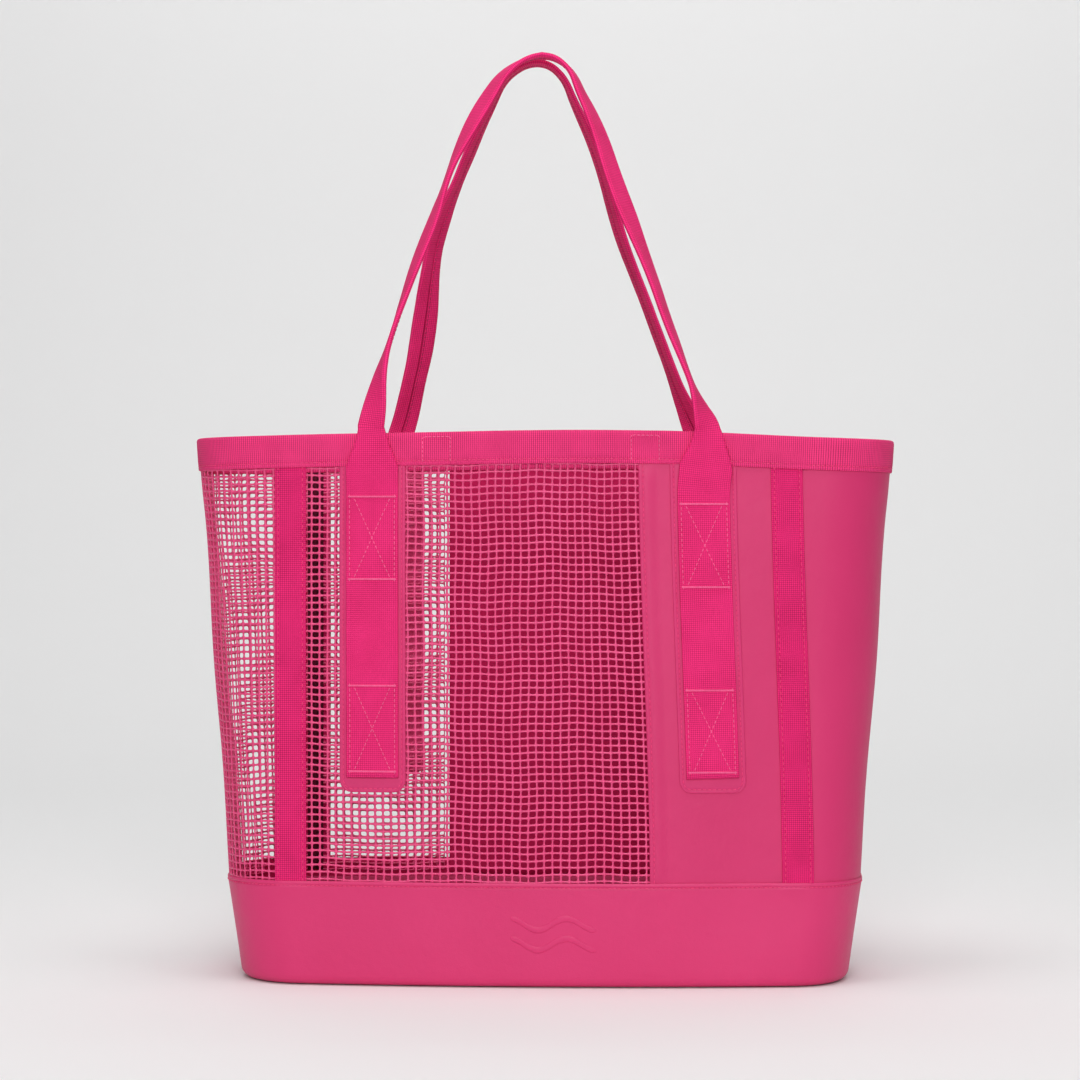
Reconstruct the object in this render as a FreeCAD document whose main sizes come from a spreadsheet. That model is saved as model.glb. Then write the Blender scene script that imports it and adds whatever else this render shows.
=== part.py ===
import FreeCAD, Part

import math
import os

import Sketcher
from FreeCAD import Vector

# Beach bag: an open tote with walls of open net and coated fabric, a coated base band, a webbing
# binding round the rim, webbing strips over the corner seams and two long shoulder handles.
# The frame's origin is on the floor under the middle of the bag. +X is the right-hand side seen
# from the front, the front faces -Y, and +Z is up. Sizes are millimetres and angles are degrees.

DRIVING_SIZES = (
    # The body, measured between the inner faces of its walls.
    ("rim_width", 508, "width at the rim"),
    ("rim_depth", 177, "depth at the rim"),
    ("seam_width", 464, "width at the top of the base band"),
    ("seam_depth", 175, "depth at the top of the base band"),
    ("base_width", 443, "width at the floor"),
    ("base_depth", 168, "depth at the floor"),
    ("body_height", 400, "floor to the top of the rim"),
    ("band_height", 75.5, "floor to the top edge of the base band"),
    ("corner_radius", 50, "plan radius of the four corners"),
    ("front_bow_radius", 1600, "plan radius of the bowed front and back"),
    ("side_bow_radius", 600, "plan radius of the bowed sides"),
    # Walls and base.
    ("panel_thickness", 1, "net and coated wall panels"),
    ("band_thickness", 1, "coated base band"),
    ("base_edge_radius", 7, "rounding where the band turns under the base"),
    ("panel_tuck", 13.5, "how far the wall panels reach down behind the band"),
    ("board_thickness", 2, "stiffener in the base"),
    ("lining_thickness", 1, "inner lining of the base"),
    ("seam_gap", 0.2, "clearance where one piece stops short of the next"),
    # Binding, strips, tapes and tabs.
    ("binding_height", 24, "webbing folded over the rim, seen from outside"),
    ("binding_thickness", 1.4, "webbing of the binding"),
    ("strip_width", 23, "webbing strip over a corner seam"),
    ("strip_thickness", 1.4, "webbing strip over a corner seam"),
    ("tape_width", 12, "seam tape inside a corner seam"),
    ("tape_thickness", 1, "seam tape inside a corner seam"),
    ("tab_width", 23, "webbing tab sewn inside the rim"),
    ("tab_height", 19, "webbing tab sewn inside the rim"),
    ("tab_thickness", 1.4, "webbing tab sewn inside the rim"),
    # Where the seams and handles are, from the side of the base inwards.
    ("corner_seam_inset", 40, "side of the base to a corner seam"),
    ("handle_inset", 60, "corner seam to the middle of a handle's webbing"),
    ("front_seam_inset", 46.5, "handle's middle to the front seam of net and coated fabric"),
    ("back_seam_inset", 43.5, "handle's middle to the same seam at the back"),
    # Handles.
    ("webbing_width", 38, "handle webbing where it is sewn flat"),
    ("webbing_thickness", 1.8, "handle webbing, one layer"),
    ("folded_width", 19, "the same webbing folded lengthwise in the loop"),
    ("folded_thickness", 3.6, "two layers in the folded loop"),
    ("patch_margin", 5, "patch beyond the webbing on each side"),
    ("patch_foot", 10.7, "patch below the webbing's sewn end"),
    ("patch_thickness", 1, "coated patch under a handle"),
    ("patch_corner_radius", 9, "lower corners of a patch"),
    ("leg_bottom", 150.7, "floor to the webbing's sewn end"),
    ("hinge_drop", 43, "rim down to the top of the sewing, where the webbing bends"),
    ("hinge_stand_off", 5.8, "patch to the bend's axis, outside the loop's own thickness"),
    ("handle_clearance", 0.4, "free webbing off the binding and patch"),
    ("handle_rise", 282.2, "rim to the top of a loop, at the webbing's middle"),
    ("handle_gap", 1, "between the two loops at their tops"),
    ("handle_top_radius", 36, "bend at the top of a loop"),
    ("handle_leg_radius", 1560, "gentle bow of a loop's legs"),
    ("handle_sway", 9, "how far the tops of the loops lean to the left"),
    ("free_rise", 4, "rim to where the free webbing starts to lean in"),
    ("lean_bend", 15, "softness of the bend where the webbing starts to lean in"),
    ("twist_height", 72, "height over which the webbing turns edge-on"),
)

NET_SIDE = -1
COATED_SIDE = 1
FRONT = -1
BACK = 1
BEYOND = 400  # reaches past the body on every side

doc = FreeCAD.newDocument("BeachBag")

sheet = doc.addObject("Spreadsheet::Sheet", "sizes")
for row, (alias, value, meaning) in enumerate(DRIVING_SIZES, start=1):
    sheet.set(f"A{row}", meaning)
    sheet.set(f"B{row}", str(value))
    sheet.setAlias(f"B{row}", alias)
doc.recompute()


def size(alias):
    return float(sheet.get(alias))


# Places worked out from the sizes, kept in the document so that both expressions and code use them.
PLACES = (
    ("corner_x", "sizes.base_width / 2 - sizes.corner_seam_inset"),
    ("handle_x", "corner_x - sizes.handle_inset"),
    ("front_seam_x", "handle_x - sizes.front_seam_inset"),
    ("back_seam_x", "handle_x - sizes.back_seam_inset"),
    ("panel_bottom", "sizes.band_height - sizes.panel_tuck"),
    ("panel_top", "sizes.body_height - sizes.binding_thickness - sizes.seam_gap"),
    ("binding_bottom", "sizes.body_height - sizes.binding_height"),
    ("trim_bottom", "sizes.band_height + sizes.seam_gap"),
    ("trim_top", "binding_bottom - sizes.seam_gap"),
    ("patch_half_width", "sizes.webbing_width / 2 + sizes.patch_margin"),
    ("patch_bottom", "sizes.leg_bottom - sizes.patch_foot"),
    ("hinge_height", "sizes.body_height - sizes.hinge_drop"),
    ("strip_outside", "sizes.panel_thickness + sizes.strip_thickness"),
    ("binding_outside", "sizes.panel_thickness + sizes.binding_thickness"),
    ("binding_inside", "-sizes.binding_thickness"),
    ("band_outside", "sizes.panel_thickness + sizes.band_thickness"),
    ("patch_outside", "sizes.panel_thickness + sizes.patch_thickness"),
    ("leg_outside", "patch_outside + sizes.webbing_thickness"),
    ("tab_inside", "binding_inside - sizes.tab_thickness"),
    ("tab_bottom", "(body_middle_of_binding) - sizes.tab_height / 2"),
    ("body_middle_of_binding", "binding_bottom + (panel_top - binding_bottom) / 2"),
)
places = doc.addObject("App::VarSet", "places")
for name, expression in PLACES:
    places.addProperty("App::PropertyFloat", name, "Places", expression)
for name, expression in PLACES:
    places.setExpression(name, expression)
doc.recompute()


# ---- The body's plan outline: eight arcs that meet smoothly, the same at any distance outwards ----


def half_sizes(height):
    """The inner half width and half depth at a height."""
    if height < size("band_height"):
        low, high = "base", "seam"
        share = height / size("band_height")
    else:
        low, high = "seam", "rim"
        share = (height - size("band_height")) / (size("body_height") - size("band_height"))
    width = size(low + "_width") * (1 - share) + size(high + "_width") * share
    depth = size(low + "_depth") * (1 - share) + size(high + "_depth") * share
    return width / 2, depth / 2


def corner_centre(half_width, half_depth):
    """The centre of the back right corner's arc, which lies inside both bowed walls' arcs."""
    back = Vector(0, half_depth - size("front_bow_radius"), 0)
    side = Vector(half_width - size("side_bow_radius"), 0, 0)
    back_reach = size("front_bow_radius") - size("corner_radius")
    side_reach = size("side_bow_radius") - size("corner_radius")
    apart = side - back
    along = (back_reach**2 - side_reach**2 + apart.Length**2) / (2 * apart.Length)
    across = math.sqrt(back_reach**2 - along**2)
    direction = apart / apart.Length
    normal = Vector(direction.y, -direction.x, 0)
    return back + direction * along + normal * across


def outline(height, outside):
    """The closed outline of the body at a height, this far outside the walls' inner face."""
    half_width, half_depth = half_sizes(height)
    centre = corner_centre(half_width, half_depth)
    to_back = centre - Vector(0, half_depth - size("front_bow_radius"), 0)
    to_side = centre - Vector(half_width - size("side_bow_radius"), 0, 0)
    to_back.normalize()
    to_side.normalize()
    radius = size("corner_radius") + outside
    on_back = centre + to_back * radius
    on_side = centre + to_side * radius
    between = centre + (to_back + to_side).normalize() * radius
    right = Vector(half_width + outside, 0, 0)
    back = Vector(0, half_depth + outside, 0)

    def turned(point, x_sign, y_sign):
        return Vector(point.x * x_sign, point.y * y_sign, height)

    arcs = (
        (turned(on_back, 1, -1), turned(between, 1, -1), turned(on_side, 1, -1)),
        (turned(on_side, 1, -1), turned(right, 1, 1), turned(on_side, 1, 1)),
        (turned(on_side, 1, 1), turned(between, 1, 1), turned(on_back, 1, 1)),
        (turned(on_back, 1, 1), turned(back, 1, 1), turned(on_back, -1, 1)),
        (turned(on_back, -1, 1), turned(between, -1, 1), turned(on_side, -1, 1)),
        (turned(on_side, -1, 1), turned(right, -1, 1), turned(on_side, -1, -1)),
        (turned(on_side, -1, -1), turned(between, -1, -1), turned(on_back, -1, -1)),
        (turned(on_back, -1, -1), turned(back, 1, -1), turned(on_back, 1, -1)),
    )
    return Part.Wire([Part.Arc(*points).toShape() for points in arcs])


def wall_depth(x, height, outside):
    """How far the front or back wall stands from the middle plane at x."""
    half_depth = half_sizes(height)[1]
    radius = size("front_bow_radius")
    return half_depth - radius + math.sqrt((radius + outside) ** 2 - x**2)


def form(name, levels):
    """A solid through body outlines, each given as (height, distance outside the inner face)."""
    wires = []
    for number, (height, outside) in enumerate(levels, start=1):
        wire = doc.addObject("Part::Feature", f"{name}_outline_{number}")
        wire.Shape = outline(height, outside)
        wires.append(wire)
    loft = doc.addObject("Part::Loft", name)
    loft.Sections = wires
    loft.Solid = True
    loft.Ruled = True
    return loft


def body_form(name, outside):
    """The whole body as a solid, this far outside the walls' inner face."""
    heights = (0, size("band_height"), size("body_height"))
    return form(name, [(height, outside) for height in heights])


def cut(name, base, tool):
    result = doc.addObject("Part::Cut", name)
    result.Base = base
    result.Tool = tool
    return result


def common(name, base, tool):
    result = doc.addObject("Part::Common", name)
    result.Base = base
    result.Tool = tool
    return result


def window(name, x, y, z):
    """A box between two places on each axis, each an expression."""
    box = doc.addObject("Part::Box", name)
    for length, place, (low, high) in (("Length", "x", x), ("Width", "y", y), ("Height", "z", z)):
        box.setExpression(length, f"({high}) - ({low})")
        box.setExpression(f"Placement.Base.{place}", low)
    return box


def wall_side(y_sign):
    """The y range of a window onto the front or the back wall."""
    return (str(-BEYOND), "0") if y_sign == FRONT else ("0", str(BEYOND))


def mirrored(x_sign, low, high):
    """An x range on the right, or its mirror image on the left."""
    return (low, high) if x_sign > 0 else (f"-({high})", f"-({low})")


parts = []


def keep(piece, label):
    piece.Label = label
    parts.append(piece)
    return piece


# ---- Layers of the wall, from the seam tape inside to the sewn webbing outside ----

inner_form = body_form("inner_form", 0)
panel_form = body_form("panel_form", size("panel_thickness"))
tape_form = body_form("tape_form", -size("tape_thickness"))
strip_form = body_form("strip_form", places.strip_outside)
patch_form = body_form("patch_form", places.patch_outside)
leg_form = body_form("leg_form", places.leg_outside)
binding_form = body_form("binding_form", places.binding_outside)
binding_inner_form = body_form("binding_inner_form", places.binding_inside)
tab_form = body_form("tab_form", places.tab_inside)

panel_layer = cut("panel_layer", panel_form, inner_form)
tape_layer = cut("tape_layer", inner_form, tape_form)
strip_layer = cut("strip_layer", strip_form, panel_form)
patch_layer = cut("patch_layer", patch_form, panel_form)
leg_layer = cut("leg_layer", leg_form, patch_form)
tab_layer = cut("tab_layer", binding_inner_form, tab_form)


# ---- Wall panels: net on the left of front and back, coated fabric on the right ----


def wall_panel(label, x, y):
    frame = window(f"{label}_window", x, y, ("places.panel_bottom", "places.panel_top"))
    keep(common(f"{label}_piece", panel_layer, frame), label)


def front_and_back_panels():
    for y_sign, side, seam in (
        (FRONT, "front", "places.front_seam_x"),
        (BACK, "back", "-places.back_seam_x"),
    ):
        wall_panel(f"{side}_mesh_panel", ("-places.corner_x", seam), wall_side(y_sign))
        wall_panel(f"{side}_solid_panel", (seam, "places.corner_x"), wall_side(y_sign))


def side_panels():
    everywhere = (str(-BEYOND), str(BEYOND))
    for x_sign, label in ((NET_SIDE, "left_side_mesh"), (COATED_SIDE, "right_side_panel")):
        wall_panel(label, mirrored(x_sign, "places.corner_x", str(BEYOND)), everywhere)


# ---- Base: rounded band, bottom panel, stiffener board and lining ----


def rounded_levels(radius, lowest, outside):
    """Outlines of an edge that turns under the base, then the wall up to the band's top."""
    steps = 4
    levels = []
    for step in range(steps + 1):
        angle = math.radians(90 * step / steps)
        height = lowest + radius * (1 - math.cos(angle))
        levels.append((height, outside - radius * (1 - math.sin(angle))))
    return levels + [(size("band_height"), outside)]


def base_pieces():
    radius = size("base_edge_radius")
    thickness = size("band_thickness")
    gap = size("seam_gap")
    inner_radius = radius - thickness
    lip = places.band_outside - radius
    outer = form("band_outer_form", rounded_levels(radius, 0, places.band_outside))
    inner = form(
        "band_inner_form", rounded_levels(inner_radius, thickness, size("panel_thickness"))
    )
    opening = form("band_opening_form", [(0, lip), (thickness, lip)])
    keep(cut("band_piece", cut("band_shell", outer, inner), opening), "base_band")

    bottom = form("bottom_piece", [(0, lip - gap), (thickness, lip - gap)])
    keep(bottom, "bottom_panel")

    board_low = thickness + gap
    board_high = board_low + size("board_thickness")
    board = form("board_piece", [(board_low, lip), (board_high, lip)])
    keep(board, "base_board")

    lining_low = board_high + gap
    lining = size("lining_thickness")
    against_band = size("panel_thickness") - gap
    shoulder = against_band - (radius - lining_low)
    top = places.panel_bottom - gap
    outer_levels = [
        (lining_low, shoulder),
        (radius + gap, against_band),
        (top, against_band),
    ]
    inner_levels = [
        (lining_low + lining, shoulder - lining / 2),
        (radius + gap + lining, against_band - lining),
        (top, against_band - lining),
    ]
    lining_outer = form("lining_outer_form", outer_levels)
    lining_inner = form("lining_inner_form", inner_levels)
    keep(cut("lining_piece", lining_outer, lining_inner), "base_lining")


# ---- Rim binding: webbing folded over the panels' top edge ----


def rim_binding():
    sleeve = cut("binding_sleeve", binding_form, binding_inner_form)
    everywhere = (str(-BEYOND), str(BEYOND))
    height = window(
        "binding_window", everywhere, everywhere, ("places.binding_bottom", "sizes.body_height")
    )
    folded = common("binding_fold", sleeve, height)
    top = "places.panel_top + sizes.seam_gap"
    slot_window = window("binding_slot_window", everywhere, everywhere, ("0", top))
    slot = common("binding_slot", panel_layer, slot_window)
    keep(cut("binding_piece", folded, slot), "rim_binding")


# ---- Corner strips outside and seam tapes inside, one of each at every corner seam ----


def corner_trim():
    for y_sign, side in ((FRONT, "front"), (BACK, "back")):
        for x_sign, hand in ((NET_SIDE, "left"), (COATED_SIDE, "right")):
            for kind, layer, width in (
                ("corner_strip", strip_layer, "sizes.strip_width"),
                ("seam_tape", tape_layer, "sizes.tape_width"),
            ):
                label = f"{side}_{hand}_{kind}"
                x = mirrored(
                    x_sign, f"places.corner_x - {width} / 2", f"places.corner_x + {width} / 2"
                )
                frame = window(
                    f"{label}_window", x, wall_side(y_sign), ("places.trim_bottom", "places.trim_top")
                )
                keep(common(f"{label}_piece", layer, frame), label)


# ---- Tabs sewn inside the front rim ----


def rim_tabs():
    for x_sign, hand in ((NET_SIDE, "left"), (COATED_SIDE, "right")):
        label = f"{hand}_rim_tab"
        half = "sizes.tab_width / 2"
        x = mirrored(x_sign, f"places.front_seam_x - {half}", f"places.front_seam_x + {half}")
        z = ("places.tab_bottom", "places.tab_bottom + sizes.tab_height")
        keep(common(f"{label}_piece", tab_layer, window(f"{label}_window", x, wall_side(FRONT), z)), label)


# ---- Handle patches: a pad with two rounded lower corners, laid on the wall ----


def origin_plane(body, role):
    return next(plane for plane in body.Origin.OriginFeatures if plane.Role == role)


def patch_pad(label, x_sign):
    """A pad right through the body with the patch's outline, seen from the front."""
    body = doc.addObject("PartDesign::Body", f"{label}_pad_body")
    sketch = body.newObject("Sketcher::SketchObject", f"{label}_sketch")
    sketch.AttachmentSupport = (origin_plane(body, "XZ_Plane"), [""])
    sketch.MapMode = "FlatFace"
    middle = x_sign * places.handle_x
    left = middle - places.patch_half_width
    right = middle + places.patch_half_width
    low = places.patch_bottom
    high = places.trim_top
    corners = (Vector(left, low), Vector(right, low), Vector(right, high), Vector(left, high))
    for start in range(4):
        sketch.addGeometry(Part.LineSegment(corners[start], corners[(start + 1) % 4]), False)
    from_start, from_end = 1, 2
    for line in range(4):
        sketch.addConstraint(Sketcher.Constraint("Coincident", line, from_end, (line + 1) % 4, from_start))
    sketch.addConstraint(Sketcher.Constraint("Horizontal", 0))
    sketch.addConstraint(Sketcher.Constraint("Horizontal", 2))
    sketch.addConstraint(Sketcher.Constraint("Vertical", 1))
    sketch.addConstraint(Sketcher.Constraint("Vertical", 3))
    origin = -1
    for name, kind, point, expression in (
        ("left", "DistanceX", (origin, 1, 0, 1), f"{x_sign} * places.handle_x - places.patch_half_width"),
        ("right", "DistanceX", (origin, 1, 0, 2), f"{x_sign} * places.handle_x + places.patch_half_width"),
        ("bottom", "DistanceY", (origin, 1, 0, 1), "places.patch_bottom"),
        ("top", "DistanceY", (origin, 1, 2, 1), "places.trim_top"),
    ):
        value = {"left": left, "right": right, "bottom": low, "top": high}[name]
        number = sketch.addConstraint(Sketcher.Constraint(kind, *point, value))
        sketch.renameConstraint(number, name)
        sketch.setExpression(f"Constraints.{name}", expression)
    pad = body.newObject("PartDesign::Pad", f"{label}_pad")
    pad.Profile = sketch
    pad.Length = 2 * BEYOND
    pad.Midplane = True
    doc.recompute()
    lower_edges = []
    for number, edge in enumerate(pad.Shape.Edges, start=1):
        box = edge.BoundBox
        if box.YLength > BEYOND and box.ZMax < low + size("patch_corner_radius"):
            lower_edges.append(f"Edge{number}")
    fillet = body.newObject("PartDesign::Fillet", f"{label}_rounding")
    fillet.Base = (pad, lower_edges)
    fillet.setExpression("Radius", "sizes.patch_corner_radius")
    body.Tip = fillet
    return body


def handle_patches():
    for x_sign, hand in ((NET_SIDE, "left"), (COATED_SIDE, "right")):
        pad = patch_pad(f"{hand}_patch", x_sign)
        for y_sign, side in ((FRONT, "front"), (BACK, "back")):
            label = f"{side}_{hand}_handle_patch"
            height = ("places.patch_bottom - 1", "places.trim_top + 1")
            half = window(f"{label}_window", (str(-BEYOND), str(BEYOND)), wall_side(y_sign), height)
            wall = common(f"{label}_wall", patch_layer, half)
            keep(common(f"{label}_piece", wall, pad), label)


# ---- Handle webbing sewn flat over the patches ----


def sewn_legs():
    half = "sizes.webbing_width / 2"
    for y_sign, side in ((FRONT, "front"), (BACK, "back")):
        for x_sign, hand in ((NET_SIDE, "left"), (COATED_SIDE, "right")):
            label = f"{side}_{hand}_handle_leg"
            x = mirrored(x_sign, f"places.handle_x - {half}", f"places.handle_x + {half}")
            z = ("sizes.leg_bottom", "places.hinge_height")
            frame = window(f"{label}_window", x, wall_side(y_sign), z)
            keep(common(f"{label}_piece", leg_layer, frame), label)


# ---- Handle loops: the same webbing, folded lengthwise, up over the shoulder and down again ----


def eased(share):
    """0 to 1 with a gentle start and end."""
    share = min(max(share, 0), 1)
    return share * share * (3 - 2 * share)


def leg_foot():
    """The middle of the free webbing just above the rim, as its distance from the middle plane."""
    off_wall = places.binding_outside + size("handle_clearance") + size("folded_thickness") / 2
    return wall_depth(places.handle_x, size("body_height"), off_wall)


def loop_outline():
    """Points down the right half of a loop, from its top, as (x, slope length above the lean)."""
    lean_height = size("handle_rise") - size("free_rise")
    lean_depth = leg_foot() - (size("folded_width") + size("handle_gap")) / 2
    slope = math.hypot(lean_height, lean_depth)
    top_radius = size("handle_top_radius")
    leg_radius = size("handle_leg_radius")
    foot = Vector(places.handle_x, 0, 0)
    top_centre = Vector(0, slope - top_radius, 0)
    span = top_centre - foot
    reach = leg_radius - top_radius
    along = (leg_radius**2 - reach**2 + span.Length**2) / (2 * span.Length)
    across = math.sqrt(leg_radius**2 - along**2)
    direction = span / span.Length
    leg_centre = foot + direction * along + Vector(-direction.y, direction.x, 0) * across
    joint_angle = math.atan2(top_centre.y - leg_centre.y, top_centre.x - leg_centre.x)
    foot_angle = math.atan2(foot.y - leg_centre.y, foot.x - leg_centre.x)
    points = []
    top_steps, leg_steps = 5, 14
    for step in range(top_steps):
        angle = math.radians(90) + (joint_angle - math.radians(90)) * step / top_steps
        spoke = Vector(math.cos(angle), math.sin(angle), 0)
        points.append(top_centre + spoke * top_radius)
    for step in range(leg_steps + 1):
        # closer together near the rim, where the webbing turns edge-on
        share = math.sin(math.radians(90) * step / leg_steps)
        angle = joint_angle + (foot_angle - joint_angle) * share
        points.append(leg_centre + Vector(math.cos(angle), math.sin(angle), 0) * leg_radius)
    return points, slope, lean_depth


def loop_stations(y_sign):
    """Middle points of the webbing from the left hinge over the top to the right hinge."""
    points, slope, lean_depth = loop_outline()
    softness = size("lean_bend")
    full = math.hypot(slope, softness) - softness
    foot_depth = leg_foot()
    rim = size("body_height") + size("free_rise")
    top = size("body_height") + size("handle_rise")
    right = []
    for point in points:
        inwards = (math.hypot(point.y, softness) - softness) / full * lean_depth
        height = rim + (top - rim) * point.y / slope
        sway = size("handle_sway") * eased(point.y / (slope / 3))
        right.append((point.x, sway, foot_depth - inwards, height))
    start = places.hinge_height + size("handle_clearance")
    flat_steps = 4
    for step in range(1, flat_steps + 1):
        height = rim + (start - rim) * step / flat_steps
        thickness = webbing_section(height)[1]
        off_wall = places.binding_outside + size("handle_clearance") + thickness / 2
        depth = wall_depth(places.handle_x, min(height, size("body_height")), off_wall)
        right.append((places.handle_x, 0, depth, height))
    left_half = [Vector(-x - sway, y_sign * y, z) for x, sway, y, z in reversed(right)]
    right_half = [Vector(x - sway, y_sign * y, z) for x, sway, y, z in right[1:]]
    return left_half + right_half


def webbing_section(height):
    """Width and thickness of the webbing: flat at the sewing, folded in two above the rim."""
    low = places.hinge_height
    share = eased((height - low) / (size("body_height") - low))
    width = size("webbing_width") * (1 - share) + size("folded_width") * share
    thickness = size("webbing_thickness") * (1 - share) + size("folded_thickness") * share
    return width, thickness


def section_wire(middle, along, leg_sign, y_sign):
    """The webbing's rectangle across its run, turned from facing outwards to edge-on."""
    width, thickness = webbing_section(middle.z)
    twist_start = size("body_height") + size("free_rise")
    twist = math.radians(90) * eased((middle.z - twist_start) / size("twist_height"))
    plan_slope = abs(middle.x) / size("front_bow_radius")
    depthwise = Vector(0, y_sign, 0)
    depthwise = (depthwise - along * along.dot(depthwise)).normalize()
    flat = Vector(1, -y_sign * leg_sign * plan_slope, 0)
    flat = (flat - along * along.dot(flat)).normalize()
    if math.sin(twist) < 1 - 1e-9:
        across = flat * math.cos(twist) * -leg_sign + depthwise * math.sin(twist)
    else:
        across = depthwise
    across.normalize()
    face = along.cross(across)
    corners = [
        middle + across * (width / 2 * a) + face * (thickness / 2 * b)
        for a, b in ((1, 1), (-1, 1), (-1, -1), (1, -1))
    ]
    return Part.makePolygon(corners + corners[:1])


def handle_loop(label, y_sign):
    stations = loop_stations(y_sign)
    middle = len(stations) // 2
    wires = []
    for number, station in enumerate(stations):
        before = stations[max(number - 1, 0)]
        after = stations[min(number + 1, len(stations) - 1)]
        along = (after - before).normalize()
        if station.z < size("body_height") or number in (0, len(stations) - 1):
            along = Vector(0, 0, 1 if number < middle else -1)
        leg_sign = -1 if number < middle else 1
        wires.append(section_wire(station, along, leg_sign, y_sign))
    loop = doc.addObject("Part::Feature", f"{label}_piece")
    loop.Shape = Part.makeLoft(wires, True, True)
    keep(loop, label)


# ---- Build, check and write ----


def checked(piece):
    """A piece's shape, once its object and its solid are sound."""
    shape = piece.Shape
    if shape.isNull() or not shape.isValid():
        raise ValueError(f"{piece.Label} has no valid shape")
    if len(shape.Solids) != 1:
        raise ValueError(f"{piece.Label} has {len(shape.Solids)} solids, and it should have one")
    if shape.Volume <= 0:
        raise ValueError(f"{piece.Label} has no volume")
    return shape


front_and_back_panels()
side_panels()
base_pieces()
rim_binding()
corner_trim()
rim_tabs()
handle_patches()
sewn_legs()
handle_loop("front_handle_loop", FRONT)
handle_loop("back_handle_loop", BACK)
doc.recompute()

for thing in doc.Objects:
    if "Invalid" in thing.State or "Error" in thing.State:
        raise ValueError(f"{thing.Name} failed: {thing.State}")

os.makedirs("parts", exist_ok=True)
for piece in parts:
    checked(piece).exportStep(os.path.join("parts", f"{piece.Label}.step"))

foot = leg_foot()
hinge_depth = wall_depth(places.handle_x, places.hinge_height, places.patch_outside)
hinge_depth += size("hinge_stand_off")
print(f"pieces: {len(parts)}")
print(f"handle hinges: height {places.hinge_height}, depth {hinge_depth:.2f} from the middle")
print(f"free webbing's middle at the rim: {foot:.2f} from the middle")
for piece in parts:
    box = piece.Shape.BoundBox
    ranges = f"x {box.XMin:.1f} {box.XMax:.1f} y {box.YMin:.1f} {box.YMax:.1f}"
    print(f"{piece.Label}: {ranges} z {box.ZMin:.1f} {box.ZMax:.1f} volume {piece.Shape.Volume:.0f}")
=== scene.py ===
# %% [markdown]
# # A beach bag of net and coated fabric
#
# The bag is an open tote: walls of open net and smooth coated fabric, a coated base band, webbing
# sewn over the rim and the corner seams, and two long shoulder handles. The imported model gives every
# size and place. Here each soft piece is rebuilt with the shape and the finish of the real one.

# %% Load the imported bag
import math

import bmesh
import bpy
import numpy as np
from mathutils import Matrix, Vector


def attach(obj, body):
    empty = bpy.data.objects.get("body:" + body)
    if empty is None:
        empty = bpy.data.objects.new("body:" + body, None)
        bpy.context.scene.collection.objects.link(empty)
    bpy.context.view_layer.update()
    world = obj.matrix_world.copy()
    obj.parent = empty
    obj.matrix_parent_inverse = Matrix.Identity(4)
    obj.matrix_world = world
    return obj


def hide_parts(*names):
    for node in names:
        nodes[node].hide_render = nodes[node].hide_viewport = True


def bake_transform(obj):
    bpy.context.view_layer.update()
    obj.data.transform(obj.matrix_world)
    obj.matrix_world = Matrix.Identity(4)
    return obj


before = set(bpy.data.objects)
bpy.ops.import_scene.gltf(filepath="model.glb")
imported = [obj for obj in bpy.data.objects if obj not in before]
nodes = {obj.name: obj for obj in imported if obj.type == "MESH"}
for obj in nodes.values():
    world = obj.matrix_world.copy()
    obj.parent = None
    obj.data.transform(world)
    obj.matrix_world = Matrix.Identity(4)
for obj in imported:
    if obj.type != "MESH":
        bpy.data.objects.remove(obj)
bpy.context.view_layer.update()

# %% [markdown]
# ## The camera
#
# The bag is seen almost straight on, from a little to the right and from about two metres away, with
# the lens level. A long lens keeps the sides of the bag nearly parallel, as a product view has them.

# %% Camera
VIEW_TURN = math.radians(2.3)
VIEW_DISTANCE = 2.21
VIEW_HEIGHT = 0.322



def add_object(name, data):
    """A new object of the scene."""
    made = bpy.data.objects.new(name, data)
    bpy.context.scene.collection.objects.link(made)
    return made


camera_data = bpy.data.cameras.new("camera")
camera_data.sensor_width = 36
camera_data.lens = 98.5
camera = add_object("camera", camera_data)
aim = Vector((-0.004, 0, VIEW_HEIGHT))
camera.location = aim + Vector((math.sin(VIEW_TURN), -math.cos(VIEW_TURN), 0)) * VIEW_DISTANCE
camera.rotation_euler = (math.pi / 2, 0, VIEW_TURN)
bpy.context.scene.camera = camera
bpy.context.scene.view_settings.view_transform = "Standard"
print("camera at", [round(c, 3) for c in camera.location])

# %% [markdown]
# ## Where a point of the wall is
#
# Seen from above, the bag is a soft rectangle: the front, back and sides bow out a little, and arcs
# of 50 mm join them. These few functions give any point of that wall, at any height and at any depth
# in or out of it, and every sewn layer uses them. So a strip lies on its panel with no fitting.

# %% The bag's plan
WALL_BOW, SIDE_BOW, CORNER = 1.6, 0.6, 0.05
BAND_TOP, RIM_LOW, RIM = 0.0755, 0.376, 0.400
LEVELS = (0, BAND_TOP, RIM)
HALF_WIDTHS = (0.2215, 0.232, 0.254)
HALF_DEPTHS = (0.084, 0.0875, 0.0885)
SEAM_X = 0.1815


def half_sizes(z):
    return np.interp(z, LEVELS, HALF_WIDTHS), np.interp(z, LEVELS, HALF_DEPTHS)


def corner_centre(z):
    """Middle of the corner arc that touches both the bowed front and the bowed side."""
    a, b = half_sizes(z)
    dx, dy = a - SIDE_BOW, WALL_BOW - b
    apart = np.hypot(dx, dy)
    dx, dy = dx / apart, dy / apart
    along = ((WALL_BOW - CORNER) ** 2 - (SIDE_BOW - CORNER) ** 2 + apart**2) / (2 * apart)
    across = np.sqrt((WALL_BOW - CORNER) ** 2 - along**2)
    return dx * along + dy * across, b - WALL_BOW + dy * along - dx * across


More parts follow.
